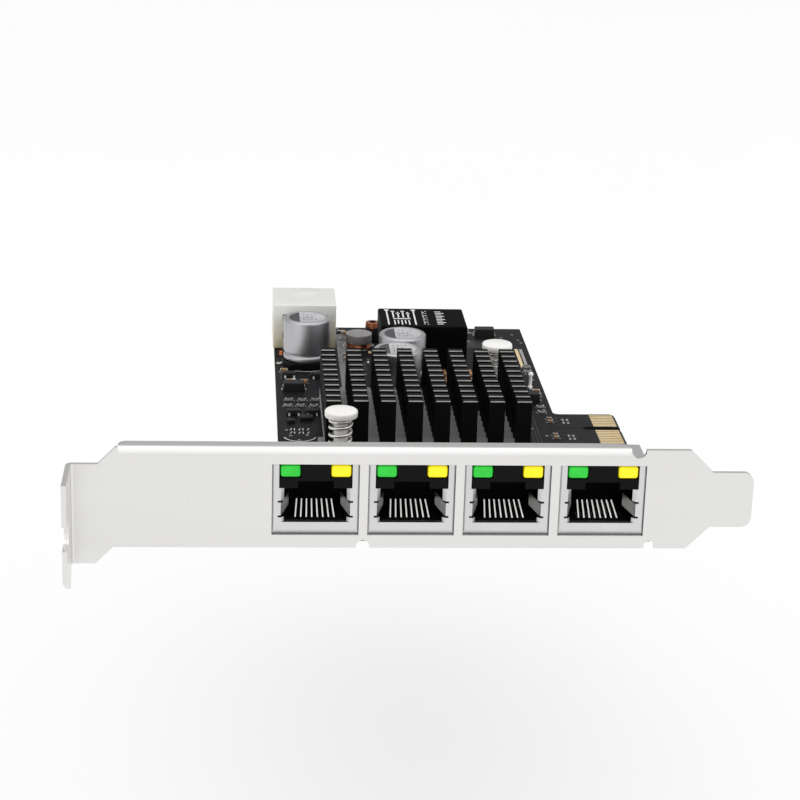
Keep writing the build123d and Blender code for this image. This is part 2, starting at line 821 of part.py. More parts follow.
def make_power_header():
    front = face_y + header_y
    rear = front + header_depth
    with BuildPart() as header:
        with BuildSketch(Plane.XZ.offset(-front)):
            with Locations((tab_x + header_mid, board_top)):
                Rectangle(header_width, header_height, align=(Align.CENTER, Align.MIN))
        extrude(amount=-header_depth)
        # Six circuit holes, the outer upper and middle lower ones keyed at two corners
        for row, z in enumerate(circuit_rows()):
            for column, x in enumerate(blade_columns()):
                with BuildSketch(Plane.XZ.offset(-rear)):
                    with Locations((x, z)):
                        Rectangle(circuit_hole, circuit_hole)
                    if (row + column) % 2 == 1:
                        chamfer(vertices().group_by(Axis.Y)[-1], length=circuit_key)
                extrude(amount=circuit_depth, mode=Mode.SUBTRACT)
                with BuildSketch(Plane.XZ.offset(-front)):
                    with Locations((x, z)):
                        Rectangle(blade + 2 * fit_gap, blade + 2 * fit_gap)
                extrude(amount=-header_depth, mode=Mode.SUBTRACT)
        # Ledge for the plug's latch
        with BuildSketch(Plane.YZ.offset(tab_x + header_mid - latch_ledge_width / 2)):
            with BuildLine():
                Polyline(
                    (rear - latch_ledge_length, board_top + header_height),
                    (rear, board_top + header_height),
                    (rear - latch_ledge_length, board_top + header_height + latch_ledge_rise),
                    close=True,
                )
            make_face()
        extrude(amount=latch_ledge_width)
    return header


def make_header_blades():
    front = face_y + header_y
    tip = front + header_depth - blade_setback
    foot = board_bottom - blade_tail
    with BuildPart() as blades:
        for z, reach in zip(circuit_rows(), (blade_exit_low, blade_exit_high)):
            for x in blade_columns():
                with BuildSketch(Plane.YZ.offset(x - blade / 2)):
                    with BuildLine():
                        Polyline(
                            (tip, z - blade / 2),
                            (tip, z + blade / 2),
                            (front - reach - blade / 2, z + blade / 2),
                            (front - reach - blade / 2, foot),
                            (front - reach + blade / 2, foot),
                            (front - reach + blade / 2, z - blade / 2),
                            close=True,
                        )
                    make_face()
                extrude(amount=blade)
    return blades


def make_power_module():
    x, y = at(module_x, module_y)
    with BuildPart() as module:
        block(x, y, board_top + module_standoff, module_width, module_depth, module_height)
        chamfer(module.faces().sort_by(Axis.Z)[-1].edges(), length=0.25)
    return module


def module_pin_places():
    x, y = at(module_x, module_y)
    half_x = module_pin_spread_x / 2
    half_y = module_pin_spread_y / 2
    return [(x + i * half_x, y + j * half_y) for i in (-1, 1) for j in (-1, 1)]


def make_module_pins():
    with BuildPart() as pins:
        for x, y in module_pin_places():
            block(x, y, board_bottom - module_pin_tail, module_pin, module_pin,
                  module_pin_tail + board_thickness + module_standoff)
    return pins


def spool(x, y, low, radius, waist, height, high_flange):
    with BuildPart() as core:
        with BuildSketch(Plane.XZ.offset(-y)):
            with BuildLine():
                Polyline(
                    (x, low),
                    (x + waist, low),
                    (x + waist, low + height - high_flange),
                    (x + radius, low + height - high_flange),
                    (x + radius, low + height),
                    (x, low + height),
                    close=True,
                )
            make_face()
        revolve(axis=Axis((x, y, 0), (0, 0, 1)))
    return core


def winding(x, y, low, inner, outer, height):
    with BuildPart() as wire:
        with BuildSketch(Plane.XY.offset(low)):
            with Locations((x, y)):
                Circle(outer)
                Circle(inner, mode=Mode.SUBTRACT)
        extrude(amount=height)
    return wire


def capacitor_spots():
    module_left = module_x - module_width / 2
    module_right = module_x + module_width / 2
    base_edge = board_left + can_places[0][0] + can_base_size / 2
    between_x = base_edge + between_share * (module_left - base_edge)
    placed = [from_side(place) for place in capacitor_places]
    beside = [at(module_right + module_capacitor_gap, y) for y in module_capacitor_ys]
    between = [at(between_x, y) for y in between_ys]
    return placed + beside + between


def make_boxes(spots, size):
    width, depth, height = size
    with BuildPart() as boxes:
        for x, y in spots:
            block(x, y, board_top, width, depth, height)
    return boxes


def make_test_pin():
    x, y = from_side(test_pin_place)
    with BuildPart() as pin:
        block(x, y, board_top, 2 * test_pin_radius, 2 * test_pin_radius, test_pin_height)
        block(x, y, board_top + test_pin_height, test_pin_head, test_pin_head, test_pin_head)
    return pin


write(make_bracket(), "bracket")
write(make_screws(), "bracket_screws")
write(make_board(), "circuit_board")
write(make_edge_contacts(), "edge_contacts")
for number, port_x in enumerate(port_xs, 1):
    write(make_shell(port_x), f"port_shell_{number}")
    write(make_housing(port_x), f"port_housing_{number}")
    write(make_contacts(port_x), f"port_contacts_{number}")
    write(make_led(port_x, -1), f"green_led_{number}")
    write(make_led(port_x, 1), f"yellow_led_{number}")
write(make_heatsink(), "heatsink")
write(make_boxes([at(sink_x, sink_y)], (chip_size, chip_size, chip_height)), "controller_chip")
with BuildPart() as thermal_pad:
    block(*at(sink_x, sink_y), board_top + chip_height, pad_size, pad_size, pad_height)
write(thermal_pad, "thermal_pad")
for end, pin_place in zip(("front", "rear"), pin_places):
    write(make_push_pin(pin_place), f"push_pin_{end}")
    write(make_pin_spring(pin_place), f"push_pin_spring_{end}")
for number, can_place in enumerate(can_places, 1):
    write(make_can(can_place), f"capacitor_can_{number}")
    write(make_can_base(can_place), f"capacitor_base_{number}")
write(make_can_leads(), "capacitor_leads")
write(make_power_header(), "power_header")
write(make_header_blades(), "power_header_blades")
write(make_power_module(), "power_module")
write(make_module_pins(), "power_module_pins")
drum_low = board_top
drum_core = spool(*at(drum_x, drum_y), drum_low, drum_radius, drum_waist, drum_height, drum_flange)
write(drum_core, "drum_choke_core")
write(winding(*at(drum_x, drum_y), drum_low, drum_waist + fit_gap, drum_radius - 2 * fit_gap,
              drum_height - drum_flange), "drum_choke_winding")
with BuildPart() as tall_choke_core:
    block(*at(choke_x, choke_y), board_top, 2 * choke_radius, 2 * choke_radius, choke_base)
write(tall_choke_core, "tall_choke_core")
with BuildPart() as tall_choke_winding:
    with Locations((*at(choke_x, choke_y), board_top + choke_base)):
        Cylinder(choke_waist, choke_height - choke_base, align=(Align.CENTER, Align.CENTER, Align.MIN))
write(tall_choke_winding, "tall_choke_winding")
for number in range(port_count):
    spot = at(transformer_x + (number - (port_count - 1) / 2) * transformer_pitch, transformer_y)
    write(make_boxes([spot], (transformer_width, transformer_depth, transformer_height)),
          f"line_transformer_{number + 1}")
write(make_boxes([from_side(crystal_place)], crystal_size), "crystal")
write(make_boxes([from_side(memory_place)], memory_size), "memory_chip")
write(make_boxes([from_side(place) for place in transistor_places], transistor_size), "small_transistors")
write(make_boxes([from_side(place) for place in diode_places], diode_size), "power_diodes")
write(make_boxes([from_side(place) for place in resistor_places], resistor_size), "chip_resistors")
write(make_boxes(capacitor_spots(), capacitor_size), "chip_capacitors")
write(make_boxes([from_side(place) for place in coupling_places], coupling_size), "coupling_capacitors")
write(make_test_pin(), "test_pin")
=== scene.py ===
import bmesh
import bpy
import random
from math import cos, pi, radians, sin
from mathutils import Matrix, Vector


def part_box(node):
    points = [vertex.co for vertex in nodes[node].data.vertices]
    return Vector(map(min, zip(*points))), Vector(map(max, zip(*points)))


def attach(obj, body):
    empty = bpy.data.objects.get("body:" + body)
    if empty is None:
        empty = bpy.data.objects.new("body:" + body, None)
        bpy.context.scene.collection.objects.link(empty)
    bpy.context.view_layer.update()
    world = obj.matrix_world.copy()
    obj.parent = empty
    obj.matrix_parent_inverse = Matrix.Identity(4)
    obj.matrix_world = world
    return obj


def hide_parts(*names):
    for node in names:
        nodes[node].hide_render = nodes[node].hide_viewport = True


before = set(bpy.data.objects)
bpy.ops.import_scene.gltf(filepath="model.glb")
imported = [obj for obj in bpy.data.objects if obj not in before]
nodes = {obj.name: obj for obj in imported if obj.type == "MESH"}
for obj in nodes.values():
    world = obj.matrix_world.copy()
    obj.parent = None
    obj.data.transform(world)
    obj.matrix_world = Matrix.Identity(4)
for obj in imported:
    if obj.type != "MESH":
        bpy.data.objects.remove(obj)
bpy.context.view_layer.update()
mm = 0.001
weldReach = 0.002 * mm
roundAbove = 35
collection = bpy.context.scene.collection


def linear(code):
    # sRGB hex to the linear colour that the shaders take
    parts = [int(code[i:i + 2], 16) / 255 for i in (0, 2, 4)]
    return tuple(c / 12.92 if c <= 0.04045 else ((c + 0.055) / 1.055) ** 2.4 for c in parts) + (1.0,)


def addNode(tree, kind, settings=None, links=None, stops=None):
    node = tree.nodes.new(kind)
    for key, value in (settings or {}).items():
        if isinstance(key, int) or key in node.inputs:
            node.inputs[key].default_value = value
        else:
            setattr(node, key, value)
    for key, socket in (links or {}).items():
        tree.links.new(socket, node.inputs[key])
    if stops:
        points = node.color_ramp.elements
        while len(points) < len(stops):
            points.new(0.5)
        for point, (place, colour) in zip(points, stops):
            point.position = place
            point.color = colour
    return node


sockets = {"coat": "Coat Weight", "coatRough": "Coat Roughness", "gloss": "Specular IOR Level",
           "under": "Subsurface Weight"}


def makeMaterial(name, look):
    # Slow blotches tint the colour, and fine grain moves the roughness and the bump. The rest is optional
    material = bpy.data.materials.new(name)
    material.use_nodes = True
    tree = material.node_tree
    tree.nodes.clear()
    place = addNode(tree, "ShaderNodeTexCoord").outputs["Object"]
    placed = addNode(tree, "ShaderNodeMapping", {"Scale": look.get("stretch", (1, 1, 1))},
                     {"Vector": place}).outputs["Vector"]
    blotch = addNode(tree, "ShaderNodeTexNoise",
                     {"Scale": 1 / (look["blotchSize"] * mm), "Detail": 3.0, "Roughness": 0.55},
                     {"Vector": placed}).outputs["Fac"]
    grain = addNode(tree, "ShaderNodeTexNoise",
                    {"Scale": 1 / (look["grainSize"] * mm), "Detail": 4.0, "Roughness": 0.6},
                    {"Vector": placed}).outputs["Fac"]
    colour = addNode(tree, "ShaderNodeValToRGB", links={"Fac": blotch},
                     stops=[(0.3, linear(look["dark"])), (0.7, linear(look["pale"]))]).outputs["Color"]
    if "fade" in look:
        # Colour at the low end of one axis, fading out between two places in millimetres
        foot, axis, low, high = look["fade"]
        height = addNode(tree, "ShaderNodeSeparateXYZ", links={"Vector": place}).outputs[axis]
        share = addNode(tree, "ShaderNodeMapRange", {"From Min": low * mm, "From Max": high * mm},
                        {"Value": height}).outputs["Result"]
        colour = addNode(tree, "ShaderNodeMix", {"data_type": "RGBA", 6: linear(foot)},
                         {0: share, 7: colour}).outputs[2]
    spread = look["roughSpread"]
    rough = addNode(tree, "ShaderNodeMapRange",
                    {"From Min": 0.3, "From Max": 0.7, "To Min": look["rough"] - spread,
                     "To Max": look["rough"] + spread}, {"Value": grain}).outputs["Result"]
    height = grain
    if "weave" in look:
        # Glass cloth under the lacquer: two sets of threads at their real spacing
        scale = pi / (10 * look["weave"] * mm)
        threads = [addNode(tree, "ShaderNodeTexWave", {"bands_direction": axis, "Scale": scale},
                           {"Vector": place}).outputs["Fac"] for axis in ("X", "Y")]
        cloth = addNode(tree, "ShaderNodeMath", {"operation": "MULTIPLY"},
                        {0: threads[0], 1: threads[1]}).outputs[0]
        height = addNode(tree, "ShaderNodeMath", {"operation": "ADD"}, {0: grain, 1: cloth}).outputs[0]
    bump = addNode(tree, "ShaderNodeBump", {"Strength": look["bump"], "Distance": look["bumpDepth"] * mm},
                   {"Height": height}).outputs["Normal"]
    settings = {"Metallic": look.get("metal", 0.0)}
    for key, socket in sockets.items():
        if key in look:
            settings[socket] = look[key]
    if "under" in look:
        settings["Subsurface Radius"] = (1.0, 0.9, 0.7)
        settings["Subsurface Scale"] = 1.5 * mm
    if "glow" in look:
        settings["Emission Color"] = linear(look["pale"])
        settings["Emission Strength"] = look["glow"]
    shader = addNode(tree, "ShaderNodeBsdfPrincipled", settings,
                     {"Base Color": colour, "Roughness": rough, "Normal": bump}).outputs["BSDF"]
    addNode(tree, "ShaderNodeOutputMaterial", links={"Surface": shader})
    return material


looks = {
    # Zinc plated steel sheet, rolled along the bracket: an even pale satin with faint lines along X
    "platedSheet": dict(dark="e2e1df", pale="e7e6e4", metal=1.0, rough=0.28, roughSpread=0.01, blotchSize=16,
                        grainSize=0.25, stretch=(0.12, 1, 1), bump=0.02, bumpDepth=0.01),
    # Zinc plated turned steel: a little darker and harder in its highlights than the sheet
    "platedScrew": dict(dark="b4b4b3", pale="c9c9c8", metal=1.0, rough=0.26, roughSpread=0.05, blotchSize=2,
                        grainSize=0.2, bump=0.1, bumpDepth=0.01),
    # Tin plated brass sheet, stamped and folded: soft grey silver, a little darker at its foot, where shade
    # is painted in
    "tinnedSheet": dict(dark="d3d3d3", pale="dadada", metal=1.0, rough=0.3, roughSpread=0.02, blotchSize=9,
                        grainSize=0.3, stretch=(1, 1, 0.3), bump=0.03, bumpDepth=0.01,
                        fade=("c0c0c2", "Z", -3.1, -2.1)),
    # Black solder mask over glass laminate: dark, low gloss, with the cloth just showing in its highlights
    "solderMask": dict(dark="1a1a1c", pale="222225", rough=0.42, roughSpread=0.05, blotchSize=7,
                       grainSize=0.3, bump=0.25, bumpDepth=0.012, gloss=0.05, weave=0.55),
    # The same mask where copper lies under it: a shade paler
    "maskedCopper": dict(dark="262629", pale="313135", rough=0.38, roughSpread=0.05, blotchSize=3,
                         grainSize=0.3, bump=0.15, bumpDepth=0.008, gloss=0.12),
    # Hard gold plate on the edge contacts: warm and pale, and only part metal so that it keeps its colour
    "hardGold": dict(dark="fbdda6", pale="ffe8bb", metal=0.6, rough=0.38, roughSpread=0.05, blotchSize=3,
                     grainSize=0.2, bump=0.06, bumpDepth=0.005),
    # Bright plate on drawn contact wire. It's mostly matt, and it has emission, which the real wire hasn't:
    # little light reaches the port's cavity
    "platedWire": dict(dark="f2f0ea", pale="fbf9f5", metal=0.1, rough=0.38, roughSpread=0.04, blotchSize=2,
                       grainSize=0.2, bump=0.05, bumpDepth=0.005, glow=0.5),
    # Moulded black nylon: matt, with a fine spark texture from its mould
    "blackNylon": dict(dark="080809", pale="0c0c0d", rough=0.5, roughSpread=0.06, blotchSize=4,
                       grainSize=0.15, bump=0.2, bumpDepth=0.012, gloss=0.1),
    # Tinted polycarbonate light pipes: drawn opaque, glossy and saturated, with a little emission
    "greenPolycarbonate": dict(dark="0fb426", pale="1bcc32", rough=0.2, roughSpread=0.03, blotchSize=2,
                               grainSize=0.4, bump=0.04, bumpDepth=0.01, glow=0.12, coat=0.6, coatRough=0.08,
                               gloss=0.3),
    "yellowPolycarbonate": dict(dark="f2dc00", pale="fcec00", rough=0.2, roughSpread=0.03, blotchSize=2,
                                grainSize=0.4, bump=0.04, bumpDepth=0.01, glow=0.18, coat=0.6, coatRough=0.08,
                                gloss=0.3),
    # Black anodised aluminium, sawn into pins: nearly no shine on the flats
    "blackAnodising": dict(dark="0a0a09", pale="100f0e", rough=0.55, roughSpread=0.05, blotchSize=6,
                           grainSize=0.12, bump=0.15, bumpDepth=0.01, gloss=0.07),
    # The sloped front rims of the pins' sawn tops: pale metal, a painted highlight along their front edges
    "pinRimHighlight": dict(dark="7c7c7b", pale="909090", metal=1.0, rough=0.38, roughSpread=0.04, blotchSize=2,
                          grainSize=0.12, bump=0.08, bumpDepth=0.008),
    # Anodised base between the pins: paler than the pins, a painted sheen, and darker toward the front,
    # painted shade
    "baseSheenAndShade": dict(dark="a6a6a7", pale="b6b6b7", rough=0.5, roughSpread=0.05, blotchSize=5,
                          grainSize=0.2, bump=0.15, bumpDepth=0.01, gloss=0.25, fade=("7c7c7e", "Y", 42, 90)),
    # Moulded epoxy of chip packages: charcoal and matt
    "mouldedEpoxy": dict(dark="151516", pale="1d1d1f", rough=0.55, roughSpread=0.06, blotchSize=3,
                         grainSize=0.1, bump=0.3, bumpDepth=0.01, gloss=0.3),
    # Potted plastic case of the power module: deep black with a low sheen
    "pottedCase": dict(dark="080808", pale="0c0c0c", rough=0.5, roughSpread=0.05, blotchSize=5,
                       grainSize=0.14, bump=0.15, bumpDepth=0.01, gloss=0.02),
    # Silicone pad: soft grey
    "siliconePad": dict(dark="8d9297", pale="a2a7ab", rough=0.7, roughSpread=0.05, blotchSize=2,
                        grainSize=0.2, bump=0.3, bumpDepth=0.02),
    # Drawn spring wire: bright metal with a fine grain
    "springWire": dict(dark="dcdad6", pale="ebe9e5", metal=1.0, rough=0.22, roughSpread=0.04, blotchSize=1.5,
                       grainSize=0.15, bump=0.06, bumpDepth=0.005),
    # Moulded white nylon: a soft, slightly waxy white
    "whiteNylon": dict(dark="efede9", pale="f6f4f1", rough=0.36, roughSpread=0.05, blotchSize=3,
                       grainSize=0.2, bump=0.08, bumpDepth=0.01, under=0.1),
    # Drawn aluminium can: cool grey, with its grain drawn out along its height
    "drawnCan": dict(dark="b2b2b5", pale="bebec1", metal=1.0, rough=0.42, roughSpread=0.04, blotchSize=4,
                     grainSize=0.15, stretch=(1, 1, 0.25), bump=0.06, bumpDepth=0.006),
    # Top of the can: paler than the drawn side, and only part metal
    "sleevedTop": dict(dark="bcbcbf", pale="c9c9cb", metal=0.3, rough=0.45, roughSpread=0.04, blotchSize=3,
                       grainSize=0.15, bump=0.05, bumpDepth=0.006),
    # Copper plane under thin mask behind the heat sink: painted grey, as it shines in the photo
    "planeGlare": dict(dark="68686a", pale="808082", rough=0.4, roughSpread=0.05, blotchSize=3, grainSize=0.3,
                       bump=0.1, bumpDepth=0.008, gloss=0.3),
    # Bright tin on leads, blades and the crystal's can
    "brightTin": dict(dark="c9c8c5", pale="dcdbd8", metal=1.0, rough=0.25, roughSpread=0.05, blotchSize=1.5,
                      grainSize=0.15, bump=0.08, bumpDepth=0.006),
    # Solder: the same tin, melted and a little softer
    "solder": dict(dark="9c9c9b", pale="b8b8b7", metal=1.0, rough=0.3, roughSpread=0.08, blotchSize=0.8,
                   grainSize=0.3, bump=0.2, bumpDepth=0.01),
    # Natural nylon header: milky white, turning tan toward the board, partly its own tint and partly painted
    # shade
    "naturalNylon": dict(dark="dadad6", pale="e2e2df", rough=0.4, roughSpread=0.05, blotchSize=5,
                         grainSize=0.25, bump=0.08, bumpDepth=0.01, under=0.1,
                         fade=("bdb594", "Z", -3.3, 5.0)),
    # Enamelled copper wire: warm brown with a clear skin
    "enamelledCopper": dict(dark="945636", pale="b27048", metal=1.0, rough=0.3, roughSpread=0.06,
                            blotchSize=1, grainSize=0.12, bump=0.08, bumpDepth=0.006, coat=0.2,
                            coatRough=0.1),
    # Pressed ferrite: dull grey with a sintered grain, black where it meets the board: partly its dark foot,
    # partly painted shade
    "pressedFerrite": dict(dark="8a8787", pale="999696", rough=0.6, roughSpread=0.06, blotchSize=1.5,
                           grainSize=0.12, bump=0.3, bumpDepth=0.012, gloss=0.3,
                           fade=("101010", "Z", -2.9, -2.2)),
    # Thick film resistor glaze: black and slightly glossy, on white alumina
    "resistorGlaze": dict(dark="161617", pale="202021", rough=0.35, roughSpread=0.05, blotchSize=1,
                          grainSize=0.1, bump=0.15, bumpDepth=0.006),
    "alumina": dict(dark="9b9a97", pale="adaca9", rough=0.5, roughSpread=0.05, blotchSize=0.8,
                    grainSize=0.1, bump=0.1, bumpDepth=0.006),
    # Fired ceramic of chip capacitors: tan brown
    "firedCeramic": dict(dark="8f6a48", pale="ab855e", rough=0.45, roughSpread=0.06, blotchSize=1,
                         grainSize=0.1, bump=0.15, bumpDepth=0.008),
    # Coloured epoxy of tantalum capacitors: slightly glossy
    "orangeEpoxy": dict(dark="d0682a", pale="e07a38", rough=0.35, roughSpread=0.05, blotchSize=1,
                        grainSize=0.1, bump=0.1, bumpDepth=0.006),
    "yellowEpoxy": dict(dark="d8b53c", pale="e6c54e", rough=0.35, roughSpread=0.05, blotchSize=1,
                        grainSize=0.1, bump=0.1, bumpDepth=0.006),
    # Screen printing ink: white on the board, grey and dark on the capacitors and chips
    "whiteInk": dict(dark="d2d2d0", pale="ebebe9", rough=0.6, roughSpread=0.05, blotchSize=0.6, grainSize=0.1,
                     bump=0.1, bumpDepth=0.004),
    "greyInk": dict(dark="8b8b8d", pale="9a9a9c", rough=0.6, roughSpread=0.05, blotchSize=0.6, grainSize=0.1,
                    bump=0.1, bumpDepth=0.004),
    "darkInk": dict(dark="37373a", pale="434346", rough=0.5, roughSpread=0.05, blotchSize=0.8, grainSize=0.1,
                    bump=0.1, bumpDepth=0.004),
}
materials = {name: makeMaterial(name, look) for name, look in looks.items()}

# Finish of each frame node, by the start of its name
finishOf = {
    "bracket": "platedSheet", "bracket_screws": "platedScrew", "circuit_board": "solderMask",
    "edge_contacts": "hardGold", "port_shell": "tinnedSheet", "port_housing": "blackNylon",
    "port_contacts": "platedWire", "green_led": "greenPolycarbonate", "yellow_led": "yellowPolycarbonate",
    "heatsink": "blackAnodising", "controller_chip": "mouldedEpoxy", "memory_chip": "mouldedEpoxy",
    "small_transistors": "mouldedEpoxy", "power_diodes": "mouldedEpoxy", "line_transformer": "mouldedEpoxy",
    "power_module": "pottedCase", "thermal_pad": "siliconePad", "push_pin": "whiteNylon",
    "push_pin_spring": "springWire", "capacitor_can": "drawnCan", "capacitor_base": "blackNylon",
    "capacitor_leads": "brightTin", "power_header": "naturalNylon", "power_header_blades": "brightTin",
    "power_module_pins": "brightTin", "crystal": "brightTin", "drum_choke_core": "pressedFerrite",
    "tall_choke_core": "mouldedEpoxy", "drum_choke_winding": "enamelledCopper",
    "tall_choke_winding": "enamelledCopper", "chip_resistors": "resistorGlaze",
    "chip_capacitors": "firedCeramic", "coupling_capacitors": "firedCeramic", "test_pin": "whiteNylon",
}

# Rounding of the corners of frame nodes that stay, as (millimetres, steps)
roundingOf = {
    "bracket": (0.12, 2), "port_shell": (0.05, 2), "port_housing": (0.08, 1), "power_header": (0.28, 2),
    "power_module": (0.15, 2), "line_transformer": (0.2, 2), "memory_chip": (0.12, 1),
    "small_transistors": (0.12, 1), "power_diodes": (0.15, 2), "crystal": (0.35, 3),
    "capacitor_base": (0.25, 2), "power_header_blades": (0.12, 1), "capacitor_leads": (0.04, 1),
    "controller_chip": (0.2, 2), "thermal_pad": (0.1, 1), "drum_choke_core": (0.15, 2),
    "tall_choke_core": (0.2, 2),
}


def longestStart(name, table):
    fitting = [key for key in table if name.startswith(key)]
    return table[max(fitting, key=len)] if fitting else None


for name, node in nodes.items():
    node.data.materials.clear()
    node.data.materials.append(materials[longestStart(name, finishOf)])
    kind, _, number = name.rpartition("_")
    rounded = kind if number.isdigit() else name
    if rounded in roundingOf:
        width, steps = roundingOf[rounded]
        weld = node.modifiers.new("weld", "WELD")
        weld.merge_threshold = weldReach
        bevel = node.modifiers.new("rounding", "BEVEL")
        bevel.width = width * mm
        bevel.segments = steps
        bevel.limit_method = "ANGLE"
        bevel.angle_limit = radians(roundAbove)
        bevel.use_clamp_overlap = True
        smooth = node.modifiers.new("shading", "WEIGHTED_NORMAL")
        smooth.keep_sharp = False
        for polygon in node.data.polygons:
            polygon.use_smooth = True
print("materials and rounded corners on the frame")


# Tools for the pieces, which are all drawn in millimetres

def boxOf(name):
    low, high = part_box(name)
    return low / mm, high / mm


def middleOf(low, high):
    return (low.x + high.x) / 2, (low.y + high.y) / 2


def solidsOf(name):
    # Lowest and highest corners of the separate solids in a frame node
    form = bmesh.new()
    form.from_mesh(nodes[name].data)
    bmesh.ops.remove_doubles(form, verts=form.verts, dist=weldReach)
    seen = set()
    found = []
    for start in form.verts:
        if start in seen:
            continue
        seen.add(start)
        waiting = [start]
        corners = []
        while waiting:
            vert = waiting.pop()
            corners.append(vert.co / mm)
            for edge in vert.link_edges:
                other = edge.other_vert(vert)
                if other not in seen:
                    seen.add(other)
                    waiting.append(other)
        found.append((Vector([min(c[i] for c in corners) for i in range(3)]),
                      Vector([max(c[i] for c in corners) for i in range(3)])))
    form.free()
    return found


def finishPiece(form, name, finishes, replaced=(), smoothBelow=38):
    bmesh.ops.scale(form, vec=(mm, mm, mm), verts=form.verts)
    bmesh.ops.recalc_face_normals(form, faces=form.faces)
    mesh = bpy.data.meshes.new(name)
    form.to_mesh(mesh)
    form.free()
    for finish in finishes:
        mesh.materials.append(materials[finish])
    mesh.shade_smooth()
    mesh.set_sharp_from_angle(angle=radians(smoothBelow))
    piece = bpy.data.objects.new(name, mesh)
    collection.objects.link(piece)
    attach(piece, "root")
    if replaced:
        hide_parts(*replaced)
    return piece


def addBlock(form, low, high, finish=0, bevel=0.0, steps=2):
    before = set(form.faces)
    low, high = Vector(low), Vector(high)
    matrix = Matrix.Translation((low + high) / 2) @ Matrix.Diagonal((*(high - low), 1))
    made = bmesh.ops.create_cube(form, size=1, matrix=matrix)
    if bevel:
        edges = {edge for vert in made["verts"] for edge in vert.link_edges}
        bmesh.ops.bevel(form, geom=list(edges), offset=bevel, segments=steps, profile=0.5, affect="EDGES")
    for face in form.faces:
        if face not in before:
            face.material_index = finish


def addPrism(form, outline, along, finish=0):
    first = [form.verts.new(point) for point in outline]
    last = [form.verts.new(Vector(point) + Vector(along)) for point in outline]
    faces = [form.faces.new(first[::-1]), form.faces.new(last)]
    for i in range(len(first)):
        j = (i + 1) % len(first)
        faces.append(form.faces.new((first[i], first[j], last[j], last[i])))
    for face in faces:
        face.material_index = finish


def addPatch(form, left, right, front, rear, low, height, finish=0):
    outline = [(left, front, low), (right, front, low), (right, rear, low), (left, rear, low)]
    addPrism(form, outline, (0, 0, height), finish)


def addPlate(form, loops, low, high, finish=0):
    # The first loop is the outline, the others are holes
    rings = {}
    for z in (low, high):
        edges = []
        rings[z] = []
        for loop in loops:
            verts = [form.verts.new((x, y, z)) for x, y in loop]
            edges += [form.edges.new((verts[i - 1], verts[i])) for i in range(len(verts))]
            rings[z].append(verts)
        made = bmesh.ops.triangle_fill(form, use_beauty=True, use_dissolve=False, edges=edges)
        for item in made["geom"]:
            if isinstance(item, bmesh.types.BMFace):
                item.material_index = finish
    for lower, upper in zip(rings[low], rings[high]):
        for i in range(len(lower)):
            face = form.faces.new((lower[i - 1], lower[i], upper[i], upper[i - 1]))
            face.material_index = finish


def addLathe(form, centre, profile, steps=48, finish=0):
    # Profile points are (radius, height), from axis to axis, or a loop of their own
    x, y = centre
    angles = [2 * pi * i / steps for i in range(steps)]
    rings = []
    for radius, z in profile:
        if radius == 0:
            rings.append([form.verts.new((x, y, z))])
        else:
            rings.append([form.verts.new((x + radius * cos(a), y + radius * sin(a), z)) for a in angles])
    pairs = list(zip(rings, rings[1:]))
    if profile[0][0] > 0:
        pairs.append((rings[-1], rings[0]))
    for a, b in pairs:
        for i in range(steps):
            j = (i + 1) % steps
            corners = list(dict.fromkeys((a[i % len(a)], a[j % len(a)], b[j % len(b)], b[i % len(b)])))
            if len(corners) > 2:
                form.faces.new(corners).material_index = finish


def addTube(form, path, radius, sides=10, finish=0):
    path = [Vector(point) for point in path]
    side = None
    rings = []
    for i, point in enumerate(path):
        ahead = (path[min(i + 1, len(path) - 1)] - path[max(i - 1, 0)]).normalized()
        side = ahead.orthogonal() if side is None else side - ahead * side.dot(ahead)
        side.normalize()
        up = ahead.cross(side)
        turns = [2 * pi * k / sides for k in range(sides)]
        rings.append([form.verts.new(point + radius * (cos(t) * side + sin(t) * up)) for t in turns])
    faces = [form.faces.new(rings[0][::-1]), form.faces.new(rings[-1])]
    for a, b in zip(rings, rings[1:]):
        faces += [form.faces.new((a[k - 1], a[k], b[k], b[k - 1])) for k in range(sides)]
    for face in faces:
        face.material_index = finish


def addTrack(form, points, width, low, height, finish=0):
    # A flat ribbon with mitred corners, for copper and for printed lines
    points = [Vector(point) for point in points]
    left, right = [], []
    for i, point in enumerate(points):
        before = (point - points[i - 1]).normalized() if i else None
        after = (points[i + 1] - point).normalized() if i + 1 < len(points) else None
        along = ((before or after) + (after or before)).normalized()
        side = Vector((-along.y, along.x))
        first = before or after
        reach = width / 2 / max(0.4, side.dot(Vector((-first.y, first.x))))
        left.append(point + side * reach)
        right.append(point - side * reach)
    addPrism(form, [(p.x, p.y, low) for p in left + right[::-1]], (0, 0, height), finish)


def addLead(form, x, y, outward, look, low, finish=0):
    # A gull wing lead from the side of a package down to the board
    out = Vector((*outward, 0))
    across = Vector((-out.y, out.x, 0)) * look["width"]
    height, reach, sheet = look["height"], look["reach"], look["sheet"]
    knee, ankle = reach * 0.35, reach * 0.6
    shape = [(-0.15, height + sheet), (knee, height + sheet), (ankle, sheet), (reach, sheet),
             (reach, 0), (ankle - sheet * 0.6, 0), (knee - sheet * 0.6, height), (-0.15, height)]
    start = Vector((x, y, low)) - across / 2
    addPrism(form, [start + out * a + Vector((0, 0, b)) for a, b in shape], across, finish)


boardLow, boardHigh = boxOf("circuit_board")
boardTop, boardBottom = boardHigh.z, boardLow.z

# Heat sink: a base with two ears and rows of sawn pins

heatSink = {"columns": 8, "rows": 11, "pinWidth": 2.95, "pinDepth": 1.6, "acrossPitch": 5.18,
            "alongPitch": 3.17, "baseDepth": 2.2, "ear": 4.0, "hole": 1.6, "corner": 0.17, "sideCorner": 0.08}
sinkLow, sinkHigh = boxOf("heatsink")
pinPlaces = [(sinkLow.x + heatSink["ear"], sinkLow.y + heatSink["ear"]),
             (sinkHigh.x - heatSink["ear"], sinkHigh.y - heatSink["ear"])]


